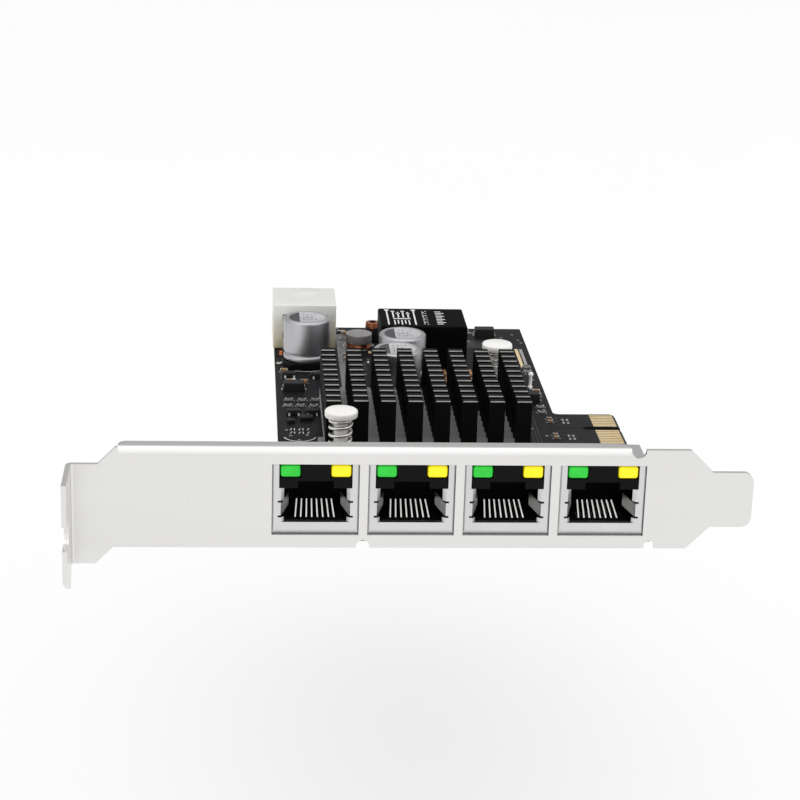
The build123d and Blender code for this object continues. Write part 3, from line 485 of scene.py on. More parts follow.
def arc(x, y, radius, start, end, steps=16):
    angles = [radians(start + (end - start) * i / steps) for i in range(steps + 1)]
    return [(x + radius * cos(a), y + radius * sin(a)) for a in angles]


def makeHeatSink(look):
    form = bmesh.new()
    midX, midY = (sinkLow.x + sinkHigh.x) / 2, (sinkLow.y + sinkHigh.y) / 2
    halfX = ((look["columns"] - 1) * look["acrossPitch"] + look["pinWidth"]) / 2
    halfY = ((look["rows"] - 1) * look["alongPitch"] + look["pinDepth"]) / 2
    ear = look["ear"]
    baseTop = sinkLow.z + look["baseDepth"]
    (frontX, frontY), (rearX, rearY) = pinPlaces
    outline = [(midX + halfX, midY - halfY), (midX + halfX, rearY - 2 * ear), (rearX + ear, rearY - 2 * ear)]
    outline += arc(rearX, rearY, ear, 0, 180)
    outline += [(rearX - ear, midY + halfY), (midX - halfX, midY + halfY), (midX - halfX, frontY + 2 * ear),
                (frontX - ear, frontY + 2 * ear)]
    outline += arc(frontX, frontY, ear, 180, 360)
    outline += [(frontX + ear, midY - halfY)]
    holes = [arc(x, y, look["hole"], 0, 345, 23) for x, y in pinPlaces]
    addPlate(form, [outline] + holes, sinkLow.z, baseTop, 2)
    corner, side = look["corner"], look["sideCorner"]
    for column in range(look["columns"]):
        x = midX - halfX + column * look["acrossPitch"]
        for row in range(look["rows"]):
            near = midY - halfY + row * look["alongPitch"]
            far = near + look["pinDepth"]
            # Eight-sided pin with narrow upright corners, then a sloped rim at its top
            rings = []
            levels = ((baseTop - 0.01, 0.0), (sinkHigh.z - corner, 0.0), (sinkHigh.z, corner))
            for z, inset in levels:
                left, right = x + inset * 0.4, x + look["pinWidth"] - inset * 0.4
                front, back = near + inset, far - inset * 0.4
                ring = [(left + side, front), (right - side, front), (right, front + side),
                        (right, back - side), (right - side, back), (left + side, back), (left, back - side),
                        (left, front + side)]
                rings.append([form.verts.new((a, b, z)) for a, b in ring])
            form.faces.new(rings[0][::-1])
            form.faces.new(rings[-1])
            for lower, upper in zip(rings, rings[1:]):
                for i in range(8):
                    face = form.faces.new((lower[i], lower[(i + 1) % 8], upper[(i + 1) % 8], upper[i]))
                    # Only the front of the top rim takes the pale finish, a painted highlight
                    if i == 0 and upper is rings[-1]:
                        face.material_index = 1
    finishPiece(form, "heat_sink_body", ["blackAnodising", "pinRimHighlight", "baseSheenAndShade"],
                ["heatsink"], 20)


makeHeatSink(heatSink)
print("heat sink")

# Push pins with rounded heads and split tips, and their springs

pushPin = {"head": 3.1, "headDepth": 1.35, "shaft": 1.3, "barb": 1.95, "tip": 1.0, "tipLength": 3.0,
           "play": 0.1, "slit": 0.5}
pinSpring = {"coil": 2.05, "wire": 0.32, "turns": 5.25, "closed": 0.9, "stepsPerTurn": 24}


def addSplitTip(form, x, y, profile, gap, steps=12):
    # Two half-round legs, with a gap between their flat sides
    for turn in (0, 1):
        shift = gap / 2 * (1 if turn == 0 else -1)
        angles = [pi * turn + pi * i / steps for i in range(steps + 1)]
        rings = []
        for radius, z in profile:
            rings.append([form.verts.new((x + radius * cos(a), y + shift + (radius - gap / 2) * sin(a), z))
                          for a in angles])
        form.faces.new(rings[0])
        form.faces.new(rings[-1][::-1])
        for a, b in zip(rings, rings[1:]):
            for i in range(steps):
                form.faces.new((a[i], a[i + 1], b[i + 1], b[i]))
            form.faces.new((a[-1], a[0], b[0], b[-1]))


def makePushPin(name, x, y, look):
    form = bmesh.new()
    top = boxOf(name)[1].z
    head, low = look["head"], top - look["headDepth"]
    barbTop = boardBottom - look["play"]
    profile = [(0, top), (head - 0.4, top), (head - 0.16, top - 0.06), (head - 0.04, top - 0.2),
               (head, top - 0.42), (head, low + 0.3), (head - 0.07, low + 0.1), (head - 0.25, low),
               (look["shaft"] + 0.3, low), (look["shaft"], low - 0.3), (look["shaft"], boardTop - 0.2),
               (0, boardTop - 0.2)]
    addLathe(form, (x, y), profile)
    tip = boardBottom - look["tipLength"]
    addSplitTip(form, x, y, [(look["shaft"], boardTop - 0.2), (look["shaft"], barbTop),
                             (look["barb"], barbTop - 0.01), (look["barb"] - 0.05, barbTop - 0.3),
                             (look["tip"], tip + 0.15), (look["tip"] - 0.2, tip)], look["slit"])
    finishPiece(form, name + "_body", ["whiteNylon"], [name])


def makeSpring(name, x, y, look):
    form = bmesh.new()
    low, high = boxOf(name)[0].z + look["wire"] + 0.06, boxOf(name)[1].z - look["wire"] - 0.06
    closed, wire = look["closed"], look["wire"]
    count = round(look["turns"] * look["stepsPerTurn"])
    path = []
    for i in range(count + 1):
        turn = i / look["stepsPerTurn"]
        flat = 2.1 * wire * closed
        if turn < closed:
            z = low + flat * turn / closed
        elif turn > look["turns"] - closed:
            z = high - flat * (look["turns"] - turn) / closed
        else:
            z = low + flat + (high - low - 2 * flat) * (turn - closed) / (look["turns"] - 2 * closed)
        path.append((x + look["coil"] * cos(2 * pi * turn), y + look["coil"] * sin(2 * pi * turn), z))
    addTube(form, path, wire, 10)
    finishPiece(form, name + "_coil", ["springWire"], [name])


for place, (x, y) in zip(("front", "rear"), pinPlaces):
    makePushPin("push_pin_" + place, x, y, pushPin)
    makeSpring("push_pin_spring_" + place, x, y, pinSpring)
print("push pins and springs")

# Electrolytic cans: drawn cup with a crimped groove near its foot, a dark mark for the negative side

canLook = {"grooveHeight": 1.5, "groove": 0.4, "topRound": 0.55, "rim": 0.12, "markShare": 0.42,
           "vent": (0.3, 1.6), "ventWidth": 0.12, "barPitch": (0.85, 1.9), "barWidth": 0.35,
           "bars": ((0.5, 0.5, 0.25, 0.5), (0.25, 0.5, 0.5), (0.5, 0.25, 0.5, 0.5))}


def makeCan(index, look):
    name = f"capacitor_can_{index}"
    low, high = boxOf(name)
    x, y = middleOf(low, high)
    radius = (high.x - low.x) / 2
    foot = low.z
    groove = foot + look["grooveHeight"]
    neck = radius - look["groove"]
    form = bmesh.new()
    profile = [(0, foot), (radius - 0.35, foot), (radius - 0.08, foot + 0.18), (radius, foot + 0.5),
               (radius, groove - 0.55), (radius - 0.08, groove - 0.32), (neck, groove - 0.05),
               (neck, groove + 0.05), (radius - 0.08, groove + 0.32), (radius, groove + 0.55)]
    curve = look["topRound"]
    for i in range(7):
        a = radians(15 * i)
        profile.append((radius - curve + curve * cos(a), high.z - curve + curve * sin(a)))
    flat = high.z - look["rim"]
    profile += [(radius - curve - 0.3, high.z), (radius - curve - 0.5, flat), (0, flat)]
    addLathe(form, (x, y), profile, 64)
    for face in form.faces:
        if all(abs(vert.co.z - flat) < 0.001 for vert in face.verts):
            face.material_index = 1
    finishPiece(form, name + "_body", ["drawnCan", "sleevedTop"], [name])

    # Half moon on the left, vent lines and plain bars on the top
    form = bmesh.new()
    inner = radius - curve - 0.55
    cut = -look["markShare"] * inner
    half = (inner ** 2 - cut ** 2) ** 0.5
    moon = [(x + inner * cos(a), y + inner * sin(a), flat)
            for a in [pi - 1.13 + 2.26 * i / 20 for i in range(21)] if inner * cos(a) <= cut + 0.05]
    moon = [(x + cut, y + half, flat)] + moon + [(x + cut, y - half, flat)]
    addPrism(form, moon, (0, 0, 0.03), 0)
    for turn in (35, 95, 155):
        a = radians(turn)
        for sign in (-1, 1):
            line = [(x + 0.3 + sign * far * cos(a), y + sign * far * sin(a)) for far in look["vent"]]
            addTrack(form, line, look["ventWidth"], flat, 0.025, 1)
    across, along = look["barPitch"]
    for row, lengths in enumerate(look["bars"]):
        front = y + along - row * along
        for i, length in enumerate(lengths):
            left = x - 0.9 + i * across
            addBlock(form, (left, front, flat), (left + look["barWidth"], front + length * 1.6, flat + 0.02),
                     1)
    finishPiece(form, f"can_{index}_marks", ["darkInk", "greyInk"])


for index in (1, 2, 3):
    makeCan(index, canLook)
print("electrolytic capacitors")

# Wound chokes: a stack of enamelled turns under the drum's grey skirt, and one over the top of the tall core

winding = {"drumTurns": 4, "tallTurns": 6, "skirtShare": 0.45, "drumDepth": 1.1, "tallDepth": 0.5,
           "tallProud": 0.03, "tallLap": 0.9}


def addTurns(form, centre, inner, outer, low, high, turns):
    # Half circles one over the other, closed by a plain wall on the inside
    wire = (high - low) / turns
    bulge = wire / 2
    profile = [(inner, high), (inner, low)]
    for turn in range(turns):
        for step in range(5):
            a = -pi / 2 + pi * (step + 0.5) / 5
            profile.append((outer - bulge + bulge * cos(a), low + wire * (turn + 0.5) + bulge * sin(a)))
    addLathe(form, centre, profile, 48)


def makeWindings(look):
    low, high = boxOf("drum_choke_winding")
    coreLow, coreHigh = boxOf("drum_choke_core")
    centre = middleOf(low, high)
    outer, skirt = (high.x - low.x) / 2, (coreHigh.x - coreLow.x) / 2
    inner = outer - look["drumDepth"]
    edge = low.z + (high.z - low.z) * look["skirtShare"]
    form = bmesh.new()
    addTurns(form, centre, inner, outer, low.z, edge, look["drumTurns"])
    addLathe(form, centre, [(inner, high.z), (inner, edge), (skirt - 0.1, edge), (skirt, edge + 0.1),
                            (skirt, high.z)], 48, 1)
    finishPiece(form, "drum_choke_turns", ["enamelledCopper", "pressedFerrite"],
                ["drum_choke_winding"], 60)
    low, high = boxOf("tall_choke_winding")
    coreLow, coreHigh = boxOf("tall_choke_core")
    inner, outer = (high.x - low.x) / 2 - look["tallDepth"], (coreHigh.x - coreLow.x) / 2 + look["tallProud"]
    form = bmesh.new()
    addTurns(form, middleOf(low, high), inner, outer, low.z - look["tallLap"], high.z, look["tallTurns"])
    finishPiece(form, "tall_choke_turns", ["enamelledCopper"], ["tall_choke_winding"], 60)


makeWindings(winding)
print("chokes")

# Contacts of the ports: drawn wires that fold over at the front and rise toward the rear, closing up at their
# tips. The last segments are pale, and the run below them is plain tin

wireLook = {"count": 8, "pitch": 0.98, "tipPitch": 0.88, "width": 0.23, "thick": 0.24, "runHeight": 1.15,
            "foldHeight": 2.15, "foldRadius": 0.45, "tipDrop": 1.0, "tipPlace": 5.4, "cornerShare": 0.35,
            "paleSegments": 10}


def makeContactWires(name, look):
    low, high = boxOf(name)
    middle = (low.x + high.x) / 2
    thick, radius = look["thick"], look["foldRadius"]
    run, fold = low.z + look["runHeight"], low.z + look["foldHeight"]
    front, rear, tipHeight = low.y + 0.05, high.y - 0.05, high.z - look["tipDrop"]
    tipPlace = low.y + look["tipPlace"]
    # The line of one wire from its foot in the board, as (depth, height, share of the way from fold to tip)
    bend = [(front + radius - radius * sin(radians(a)), (run + fold) / 2 - radius * cos(radians(a)), 0.0)
            for a in range(0, 181, 20)]
    line = [(rear, low.z, 0.0), (rear, run - 0.3, 0.0), (rear - 0.3, run - thick / 2, 0.0)] + bend
    for step in range(1, 7):
        share = step / 6
        line.append((front + radius + (tipPlace - front - radius) * share, bend[-1][1] +
                     (tipHeight - bend[-1][1]) * share, share))
    pale = len(line) - 1 - look["paleSegments"]
    cut = look["cornerShare"]
    shape = ((-1, -cut), (-cut, -1), (cut, -1), (1, -cut), (1, cut), (cut, 1), (-cut, 1), (-1, cut))
    form = bmesh.new()
    for i in range(look["count"]):
        rings = []
        for place, (depth, height, share) in enumerate(line):
            before, after = line[max(place - 1, 0)], line[min(place + 1, len(line) - 1)]
            along = Vector((0, after[0] - before[0], after[1] - before[1])).normalized()
            up = Vector((0, -along.z, along.y)) * thick / 2
            pitch = look["pitch"] + (look["tipPitch"] - look["pitch"]) * share
            centre = Vector((middle + (i - (look["count"] - 1) / 2) * pitch, depth, height))
            half = Vector((look["width"] / 2, 0, 0))
            rings.append([form.verts.new(centre + a * half + b * up) for a, b in shape])
        form.faces.new(rings[0][::-1])
        form.faces.new(rings[-1])
        for place, (a, b) in enumerate(zip(rings, rings[1:])):
            for k in range(8):
                face = form.faces.new((a[k - 1], a[k], b[k], b[k - 1]))
                face.material_index = 1 if place < pale else 0
    finishPiece(form, name + "_wires", ["platedWire", "brightTin"], [name], 60)


for index in (1, 2, 3, 4):
    makeContactWires(f"port_contacts_{index}", wireLook)
print("contact wires")

# Lamps: moulded blocks with well rounded corners

lensLook = {"corner": 0.5, "steps": 5}


def makeLens(name, finish, look):
    form = bmesh.new()
    low, high = boxOf(name)
    addBlock(form, low, high, 0, look["corner"], look["steps"])
    finishPiece(form, name + "_lens", [finish], [name], 50)


for index in (1, 2, 3, 4):
    makeLens(f"green_led_{index}", "greenPolycarbonate", lensLook)
    makeLens(f"yellow_led_{index}", "yellowPolycarbonate", lensLook)
print("lamps")

# Chip parts: a body, a plated cap at each end and a wedge of solder in front of each cap

chipPart = {"cap": 0.3, "skin": 0.02, "corner": 0.05, "fillet": 0.28, "pad": 0.32}


def makeChipParts(name, finishes, look, film=False):
    form = bmesh.new()
    for low, high in solidsOf(name):
        skin = look["skin"]
        cap = min(look["cap"], (high.x - low.x) * 0.25)
        addBlock(form, low + Vector((cap * 0.5, skin, 0.0)), high - Vector((cap * 0.5, skin, skin)), 0,
                 look["corner"], 1)
        if film:
            addBlock(form, (low.x + cap, low.y + 0.06, high.z - skin - 0.01),
                     (high.x - cap, high.y - 0.06, high.z), 3, 0.01, 1)
        for side, edge in ((-1, low.x), (1, high.x)):
            inner, outer = edge - side * cap, edge + side * look["pad"]
            addBlock(form, (min(edge, inner), low.y, low.z), (max(edge, inner), high.y, high.z), 1,
                     look["corner"], 2)
            tall = (high.z - low.z) * 0.6
            reach = side * look["fillet"]
            addPrism(form, [(edge - side * 0.02, low.y + 0.04, low.z), (edge + reach, low.y + 0.04, low.z),
                            (edge + reach * 0.35, low.y + 0.04, low.z + tall * 0.35),
                            (edge - side * 0.02, low.y + 0.04, low.z + tall)],
                     (0, high.y - low.y - 0.08, 0), 2)
            addBlock(form, (min(inner, outer), low.y - 0.06, boardTop),
                     (max(inner, outer), high.y + 0.06, boardTop + 0.03), 2)
    finishPiece(form, name + "_dressed", finishes, [name])


makeChipParts("chip_resistors", ["alumina", "brightTin", "solder", "resistorGlaze"],
              chipPart, True)
makeChipParts("chip_capacitors", ["firedCeramic", "brightTin", "solder"], chipPart)
makeChipParts("coupling_capacitors", ["firedCeramic", "brightTin", "solder"], chipPart)
print("chip parts")

# Leads of the packages

wingLead = {"width": 0.42, "height": 0.9, "reach": 0.95, "sheet": 0.16}
smallLead = {"width": 0.38, "height": 0.45, "reach": 0.5, "sheet": 0.12}
strapLead = {"width": 1.5, "height": 0.8, "reach": 0.42, "sheet": 0.2}
leadPitch = 1.27
legSpacing = 0.95


def makePackageLeads():
    form = bmesh.new()
    for index in (1, 2, 3, 4):
        low, high = boxOf(f"line_transformer_{index}")
        for i in range(8):
            x = (low.x + high.x) / 2 + (i - 3.5) * leadPitch
            addLead(form, x, low.y, (0, -1), wingLead, boardTop)
            addLead(form, x, high.y, (0, 1), wingLead, boardTop)
    low, high = boxOf("memory_chip")
    for i in range(4):
        x = (low.x + high.x) / 2 + (i - 1.5) * leadPitch
        addLead(form, x, low.y, (0, -1), smallLead, boardTop)
        addLead(form, x, high.y, (0, 1), smallLead, boardTop)
    for low, high in solidsOf("small_transistors"):
        middle = (low.x + high.x) / 2
        addLead(form, middle - legSpacing, low.y, (0, -1), smallLead, boardTop)
        addLead(form, middle + legSpacing, low.y, (0, -1), smallLead, boardTop)
        addLead(form, middle, high.y, (0, 1), smallLead, boardTop)
    for low, high in solidsOf("power_diodes"):
        middle = (low.y + high.y) / 2
        addLead(form, low.x, middle, (-1, 0), strapLead, boardTop)
        addLead(form, high.x, middle, (1, 0), strapLead, boardTop)
    finishPiece(form, "package_leads", ["brightTin"], (), 60)


makePackageLeads()
print("package leads")

# Post with a round head at the edge of the board

ballPin = {"ball": 0.55, "post": 0.3, "foot": 0.55}


def makeBallPin(look):
    low, high = boxOf("test_pin")
    ball, middle = look["ball"], high.z - look["ball"]
    profile = [(0, low.z), (look["foot"], low.z), (look["post"] + 0.06, low.z + 0.25),
               (look["post"], low.z + 0.5)]
    profile += [(ball * cos(radians(a)), middle + ball * sin(radians(a))) for a in range(-50, 90, 14)]
    profile.append((0, high.z))
    form = bmesh.new()
    addLathe(form, middleOf(low, high), profile, 28)
    finishPiece(form, "test_pin_body", ["whiteNylon"], ["test_pin"], 60)


makeBallPin(ballPin)

# Screws under the bracket's tab: flat heads with a rounded rim and a cross recess

screwLook = {"recess": 0.55, "recessLength": 2.5, "recessDepth": 0.35, "rim": 0.35, "headHeight": 0.6,
             "shank": 1.25}


def makeScrews(look):
    form = bmesh.new()
    for low, high in solidsOf("bracket_screws"):
        x, y = middleOf(low, high)
        head = (high.x - low.x) / 2
        face, under = head - look["rim"], low.z + look["headHeight"]
        wide, long, deep = look["recess"] / 2, look["recessLength"] / 2, look["recessDepth"]
        cross = [(wide, -long), (wide, -wide), (long, -wide), (long, wide), (wide, wide), (wide, long),
                 (-wide, long), (-wide, wide), (-long, wide), (-long, -wide), (-wide, -wide), (-wide, -long)]
        rim = arc(x, y, face, 0, 352.5, 47)
        addPlate(form, [rim, [(x + a, y + b) for a, b in cross]], low.z, low.z + deep)
        wall = [(face, low.z + 0.001), (head - 0.12, low.z + 0.06), (head, low.z + 0.25), (head, under),
                (face, under)]
        addLathe(form, (x, y), wall)
        addLathe(form, (x, y), [(0, low.z + deep), (head - 0.3, low.z + deep), (head - 0.3, under),
                                (look["shank"], under), (look["shank"], high.z), (0, high.z)])
    finishPiece(form, "bracket_screws_turned", ["platedScrew"], ["bracket_screws"])


makeScrews(screwLook)
print("screws and post")

# Copper under the mask, bare pads, plated holes and screen print on the board

boardLook = {
    "copperRise": 0.02, "printRise": 0.03, "trackWidth": 0.28, "printWidth": 0.16,
    # Where the contacts' copper starts, how far the tongue reaches, and what the ports' tracks close on
    "contactStart": 99.9, "tongueReach": 12.6, "gather": 64.7,
    # Runs beside the heat sink, as (x, start, end)
    "runs": ((37.4, 34, 52), (38.3, 34, 50), (39.2, 34, 48), (86.9, 30, 80), (87.6, 30, 78), (88.3, 30, 76)),
    # Wide copper areas that carry the supply, as (x, y, width, length) from their middles
    "supply": ((44.5, 111.0, 5.0, 2.2), (54.0, 104.4, 4.2, 5.2), (80.5, 121.4, 9.0, 6.0),
               (82.5, 96.0, 6.5, 4.0), (39.2, 98.6, 3.6, 5.4)),
    # Corners of the copper plane behind the heat sink
    "plane": ((50.3, 88.5), (54.0, 88.5), (53.6, 128.0), (50.3, 128.0)),
    # Plated holes at random places, clear of the parts and of each other
    "holeCount": 90, "holeOuter": 0.32, "holeInner": 0.15, "holeSpacing": 1.1, "partClearance": 0.7,
    "holeRangeX": (37.2, 92.0), "holeRangeY": (35.0, 132.4), "seed": 4,
    # Printed rings around the cans and the drum choke
    "canRing": 5.75, "drumRing": 3.4,
    # Corners around the heat sink's chip, as (x, y, direction in x, direction in y)
    "chipCorners": ((51.4, 50.0, 1, 1), (78.1, 50.0, -1, 1), (51.4, 72.5, 1, -1), (78.1, 72.5, -1, -1)),
    # Gold test pads and domes of solder, as places of their middles
    "goldPads": ((38.0, 113.0), (57.6, 114.6), (46.6, 95.6)),
    "domes": ((37.9, 106.4), (56.8, 107.4), (40.3, 95.5), (49.0, 126.0), (52.0, 128.8)),
}


def makeTracks(look):
    form = bmesh.new()
    rise, width = look["copperRise"], look["trackWidth"]
    start, gather = look["contactStart"], look["gather"]
    body = boxOf("circuit_board")[1].x - look["tongueReach"]
    fingers = sorted({round((low.y + high.y) / 2, 2) for low, high in solidsOf("edge_contacts")})
    for i, y in enumerate(fingers):
        # From each contact back to the body, bent towards the heat sink
        bend = 1.2 + 0.35 * (i % 3)
        shift = 0.7 if i % 2 else -0.7
        addTrack(form,
                 [(start, y), (body + bend, y), (body + bend - 0.7, y + shift), (body - 0.3, y + shift)],
                 width, boardTop, rise)
        addTrack(form, [(start, y), (body - 1.0, y), (body - 3.0, y + 2.0), (body - 9.0, y + 2.0)], width,
                 boardBottom - rise, rise)
    # Bus from the ports' side to the controller, top and underside
    for port in (1, 2, 3, 4):
        low, high = boxOf(f"line_transformer_{port}")
        middle = (low.x + high.x) / 2
        for i in range(6):
            x = middle + (i - 2.5) * leadPitch
            above, below = x + (gather - x) * 0.12, x + (gather - x) * 0.3
            addTrack(form,
                     [(x, high.y + 1.0), (x, high.y + 2.2), (above, high.y + 5.5), (above, high.y + 9.0)],
                     0.2, boardTop, rise)
            addTrack(form, [(x, low.y - 6.5), (x, low.y + 4), (below, low.y + 16), (below, low.y + 22)], 0.22,
                     boardBottom - rise, rise)
    for x, front, rear in look["runs"]:
        addTrack(form, [(x, front), (x, rear - 2), (x + 0.8, rear)], width, boardTop, rise)
    # Bundle under the board, from below the heat sink to the power parts
    for i in range(6):
        x = 44.0 + i * 0.9
        addTrack(form, [(x, 60), (x, 96 + i), (x + 5 - i * 0.5, 101 + i), (x + 5 - i * 0.5, 118 - i)], width,
                 boardBottom - rise, rise)
    for x, y, wide, long in look["supply"]:
        addPatch(form, x - wide / 2, x + wide / 2, y - long / 2, y + long / 2, boardTop, rise)
    addPrism(form, [(x, y, boardTop) for x, y in look["plane"]], (0, 0, rise * 0.6), 1)
    finishPiece(form, "board_tracks", ["maskedCopper", "planeGlare"], (), 80)


def takenPlaces(clear):
    # Areas of the board covered by parts, as left, right, front and rear
    taken = []
    for name in nodes:
        if name.startswith(("circuit_board", "bracket", "edge_contacts", "port_")):
            continue
        for low, high in solidsOf(name):
            taken.append((low.x - clear, high.x + clear, low.y - clear, high.y + clear))
    return taken


def makeHoles(look):
    form = bmesh.new()
    taken = takenPlaces(look["partClearance"])
    random.seed(look["seed"])
    made = 0
    outer, inner, apart = look["holeOuter"], look["holeInner"], look["holeSpacing"]
    while made < look["holeCount"]:
        x, y = random.uniform(*look["holeRangeX"]), random.uniform(*look["holeRangeY"])
        if any(left < x < right and front < y < rear for left, right, front, rear in taken):
            continue
        taken.append((x - apart, x + apart, y - apart, y + apart))
        for low, high in ((boardTop, boardTop + 0.03), (boardBottom - 0.03, boardBottom)):
            addLathe(form, (x, y), [(outer, low), (outer, high), (inner, high), (inner, low)], 14)
        made += 1
    finishPiece(form, "plated_holes", ["brightTin"], (), 60)


def makePrint(look):
    form = bmesh.new()
    rise, width = look["printRise"], look["printWidth"]

    def frameAround(low, high, gap):
        addTrack(form,
                 [(low.x - gap, low.y - gap), (high.x + gap, low.y - gap), (high.x + gap, high.y + gap),
                  (low.x - gap, high.y + gap), (low.x - gap, low.y - gap + width)], width, boardTop, rise)

    for name in ("memory_chip", "crystal"):
        frameAround(*boxOf(name), 0.35 if name == "crystal" else 1.0)
    for index in (1, 2, 3):
        low, high = boxOf(f"capacitor_base_{index}")
        middle = (low + high) / 2
        for start in (25, 205):
            ring = arc(middle.x, middle.y, look["canRing"], start, start + 130)
            addTrack(form, ring, width, boardTop, rise)
    addTrack(form, arc(*middleOf(*boxOf("drum_choke_core")), look["drumRing"], 0, 300), width, boardTop, rise)
    # Arc in front of the left side's small parts, open at the back, and ticks above it
    addTrack(form, arc(40.75, 59.7, 3.2, 196, 344), 0.24, boardTop, rise)
    for i in range(5):
        for row in (0, 1):
            x, y = 38.9 + i * 0.85, 61.0 + row * 2.0
            addTrack(form, [(x, y), (x + (0.0 if i % 2 else 0.35), y + 1.1)], 0.17, boardTop, rise)
    # Pairs of ticks beside the coupling capacitors
    for low, high in solidsOf("coupling_capacitors"):
        y = (low.y + high.y) / 2
        for step in (2.0, 2.9):
            for across in (-0.28, 0.28):
                level = y + across - 0.18
                addTrack(form, [(high.x + step, level), (high.x + step + 0.45, level)], 0.2, boardTop, rise)
    # Two short bars behind every third chip part
    for name in ("chip_resistors", "chip_capacitors"):
        for i, (low, high) in enumerate(solidsOf(name)):
            if i % 3 == 0:
                y = high.y + 0.4
                addTrack(form, [(low.x, y), (low.x + 0.45 + 0.2 * (i % 2), y)], 0.14, boardTop, rise)
                addTrack(form, [(low.x + 0.95, y), (low.x + 1.25, y)], 0.14, boardTop, rise)
    for x, y, a, b in look["chipCorners"]:
        addTrack(form, [(x + a * 1.4, y), (x, y), (x, y + b * 1.4)], width, boardTop, rise)
    # Short lines near the rear edge
    for x in (50.5, 60.5, 70.5, 80.5):
        addTrack(form, [(x, 129.8), (x + 2.4, 129.8)], width, boardTop, rise)
    finishPiece(form, "board_print", ["whiteInk"], (), 80)


def makePads(look):
    form = bmesh.new()
    rise = look["copperRise"]

    def pad(left, right, front, rear, finish=0):
        addPatch(form, left, right, front, rear, boardTop, rise * 2, finish)

    # Bare gold strip and the tinned strip beside it at the right edge
    pad(89.75, 90.45, 104.5, 117.8)
    pad(90.75, 91.4, 105.4, 117.8, 1)
    for i in range(5):
        pad(84.6 + i * 1.3, 85.2 + i * 1.3, 89.6, 91.2, 1)
    for x, y in look["goldPads"]:
        pad(x - 0.5, x + 0.5, y - 0.8, y + 0.8)
    dome = ((0, 0), (0.55, 0), (0.4, 0.22), (0.15, 0.34), (0, 0.36))
    for x, y in look["domes"]:
        addLathe(form, (x, y), [(radius, boardTop + height) for radius, height in dome], 16, 2)
    finishPiece(form, "bare_pads", ["hardGold", "brightTin", "solder"], (), 60)


# Solder joints, as (radius, height)
jointLook = {"blade": (1.05, 1.0), "module": (0.85, 0.9), "shell": (0.95, 0.7), "pin": (0.55, 0.6)}


def makeJoints(look):
    # Cones where pins come through under the board, and fillets around leads and choke pads on top
    form = bmesh.new()

    def joint(x, y, kind):
        radius, height = look[kind]
        tip = boardBottom - height
        addLathe(form, (x, y),
                 [(0, boardBottom), (radius, boardBottom), (radius * 0.62, boardBottom - height * 0.35),
                  (radius * 0.34, tip), (0, tip)], 18)

    for low, high in solidsOf("power_header_blades"):
        joint((low.x + high.x) / 2, low.y + 0.53, "blade")
    for low, high in solidsOf("power_module_pins"):
        joint(*middleOf(low, high), "module")
    for port in (1, 2, 3, 4):
        low, high = boxOf(f"port_shell_{port}")
        middle = (low.x + high.x) / 2
        for side in (-1, 1):
            joint(middle + side * 7.85, 17.37, "shell")
        for i in range(8):
            joint(middle + (i - 3.5) * leadPitch, 19.6 if i % 2 else 22.1, "pin")
        for x in (-6.6, -4.3, 4.3, 6.6):
            joint(middle + x, 12.6, "pin")
    for low, high in solidsOf("capacitor_leads"):
        addBlock(form, (low.x - 0.15, low.y - 0.2, boardTop), (high.x + 0.15, high.y + 0.2, boardTop + 0.12),
                 0, 0.05, 1)
    for name in ("drum_choke_core", "tall_choke_core"):
        low, high = boxOf(name)
        middle = (low + high) / 2
        for side in (-1, 1):
            x = middle.x + side * (high.x - low.x) * 0.44
            addBlock(form, (x - 0.5, middle.y - 0.7, boardTop), (x + 0.5, middle.y + 0.7, boardTop + 0.25),
                     0, 0.1, 2)
    finishPiece(form, "solder_joints", ["solder"], (), 60)


# Very small bodies around the heat sink, as (left, right, front, rear, height, finish)
smallBodies = (
    (37.5, 38.5, 112.6, 113.8, 0.5, 0), (38.8, 39.9, 98.8, 99.6, 0.45, 1), (40.1, 40.6, 92.0, 93.6, 0.5, 2),
    (72.4, 73.0, 93.0, 96.2, 0.5, 3), (72.4, 73.0, 98.2, 101.6, 0.5, 3), (77.9, 78.5, 93.0, 96.2, 0.5, 3),
    (77.9, 78.5, 98.2, 101.6, 0.5, 3), (50.8, 52.6, 129.2, 129.8, 0.5, 4),
    (57.3, 58.1, 122.9, 123.9, 0.4, 3), (38.4, 39.9, 67.0, 68.4, 0.7, 5), (41.0, 43.6, 68.6, 70.6, 0.8, 5),
    (84.0, 85.0, 130.0, 131.0, 0.6, 3),
)


def makeSmallParts(bodies):
    form = bmesh.new()
    for left, right, front, rear, height, finish in bodies:
        addBlock(form, (left, front, boardTop), (right, rear, boardTop + height), finish, 0.06)
    finishPiece(form, "small_parts", ["orangeEpoxy", "yellowEpoxy", "alumina", "firedCeramic", "brightTin",
                                      "mouldedEpoxy"], (), 40)


makeSmallParts(smallBodies)
makeTracks(boardLook)
makeHoles(boardLook)
makePrint(boardLook)
makePads(boardLook)
makeJoints(jointLook)
print("board details")

# Plain printed bars on the power module and on the chips

moduleLook = {"rise": 0.03, "line": 0.34}


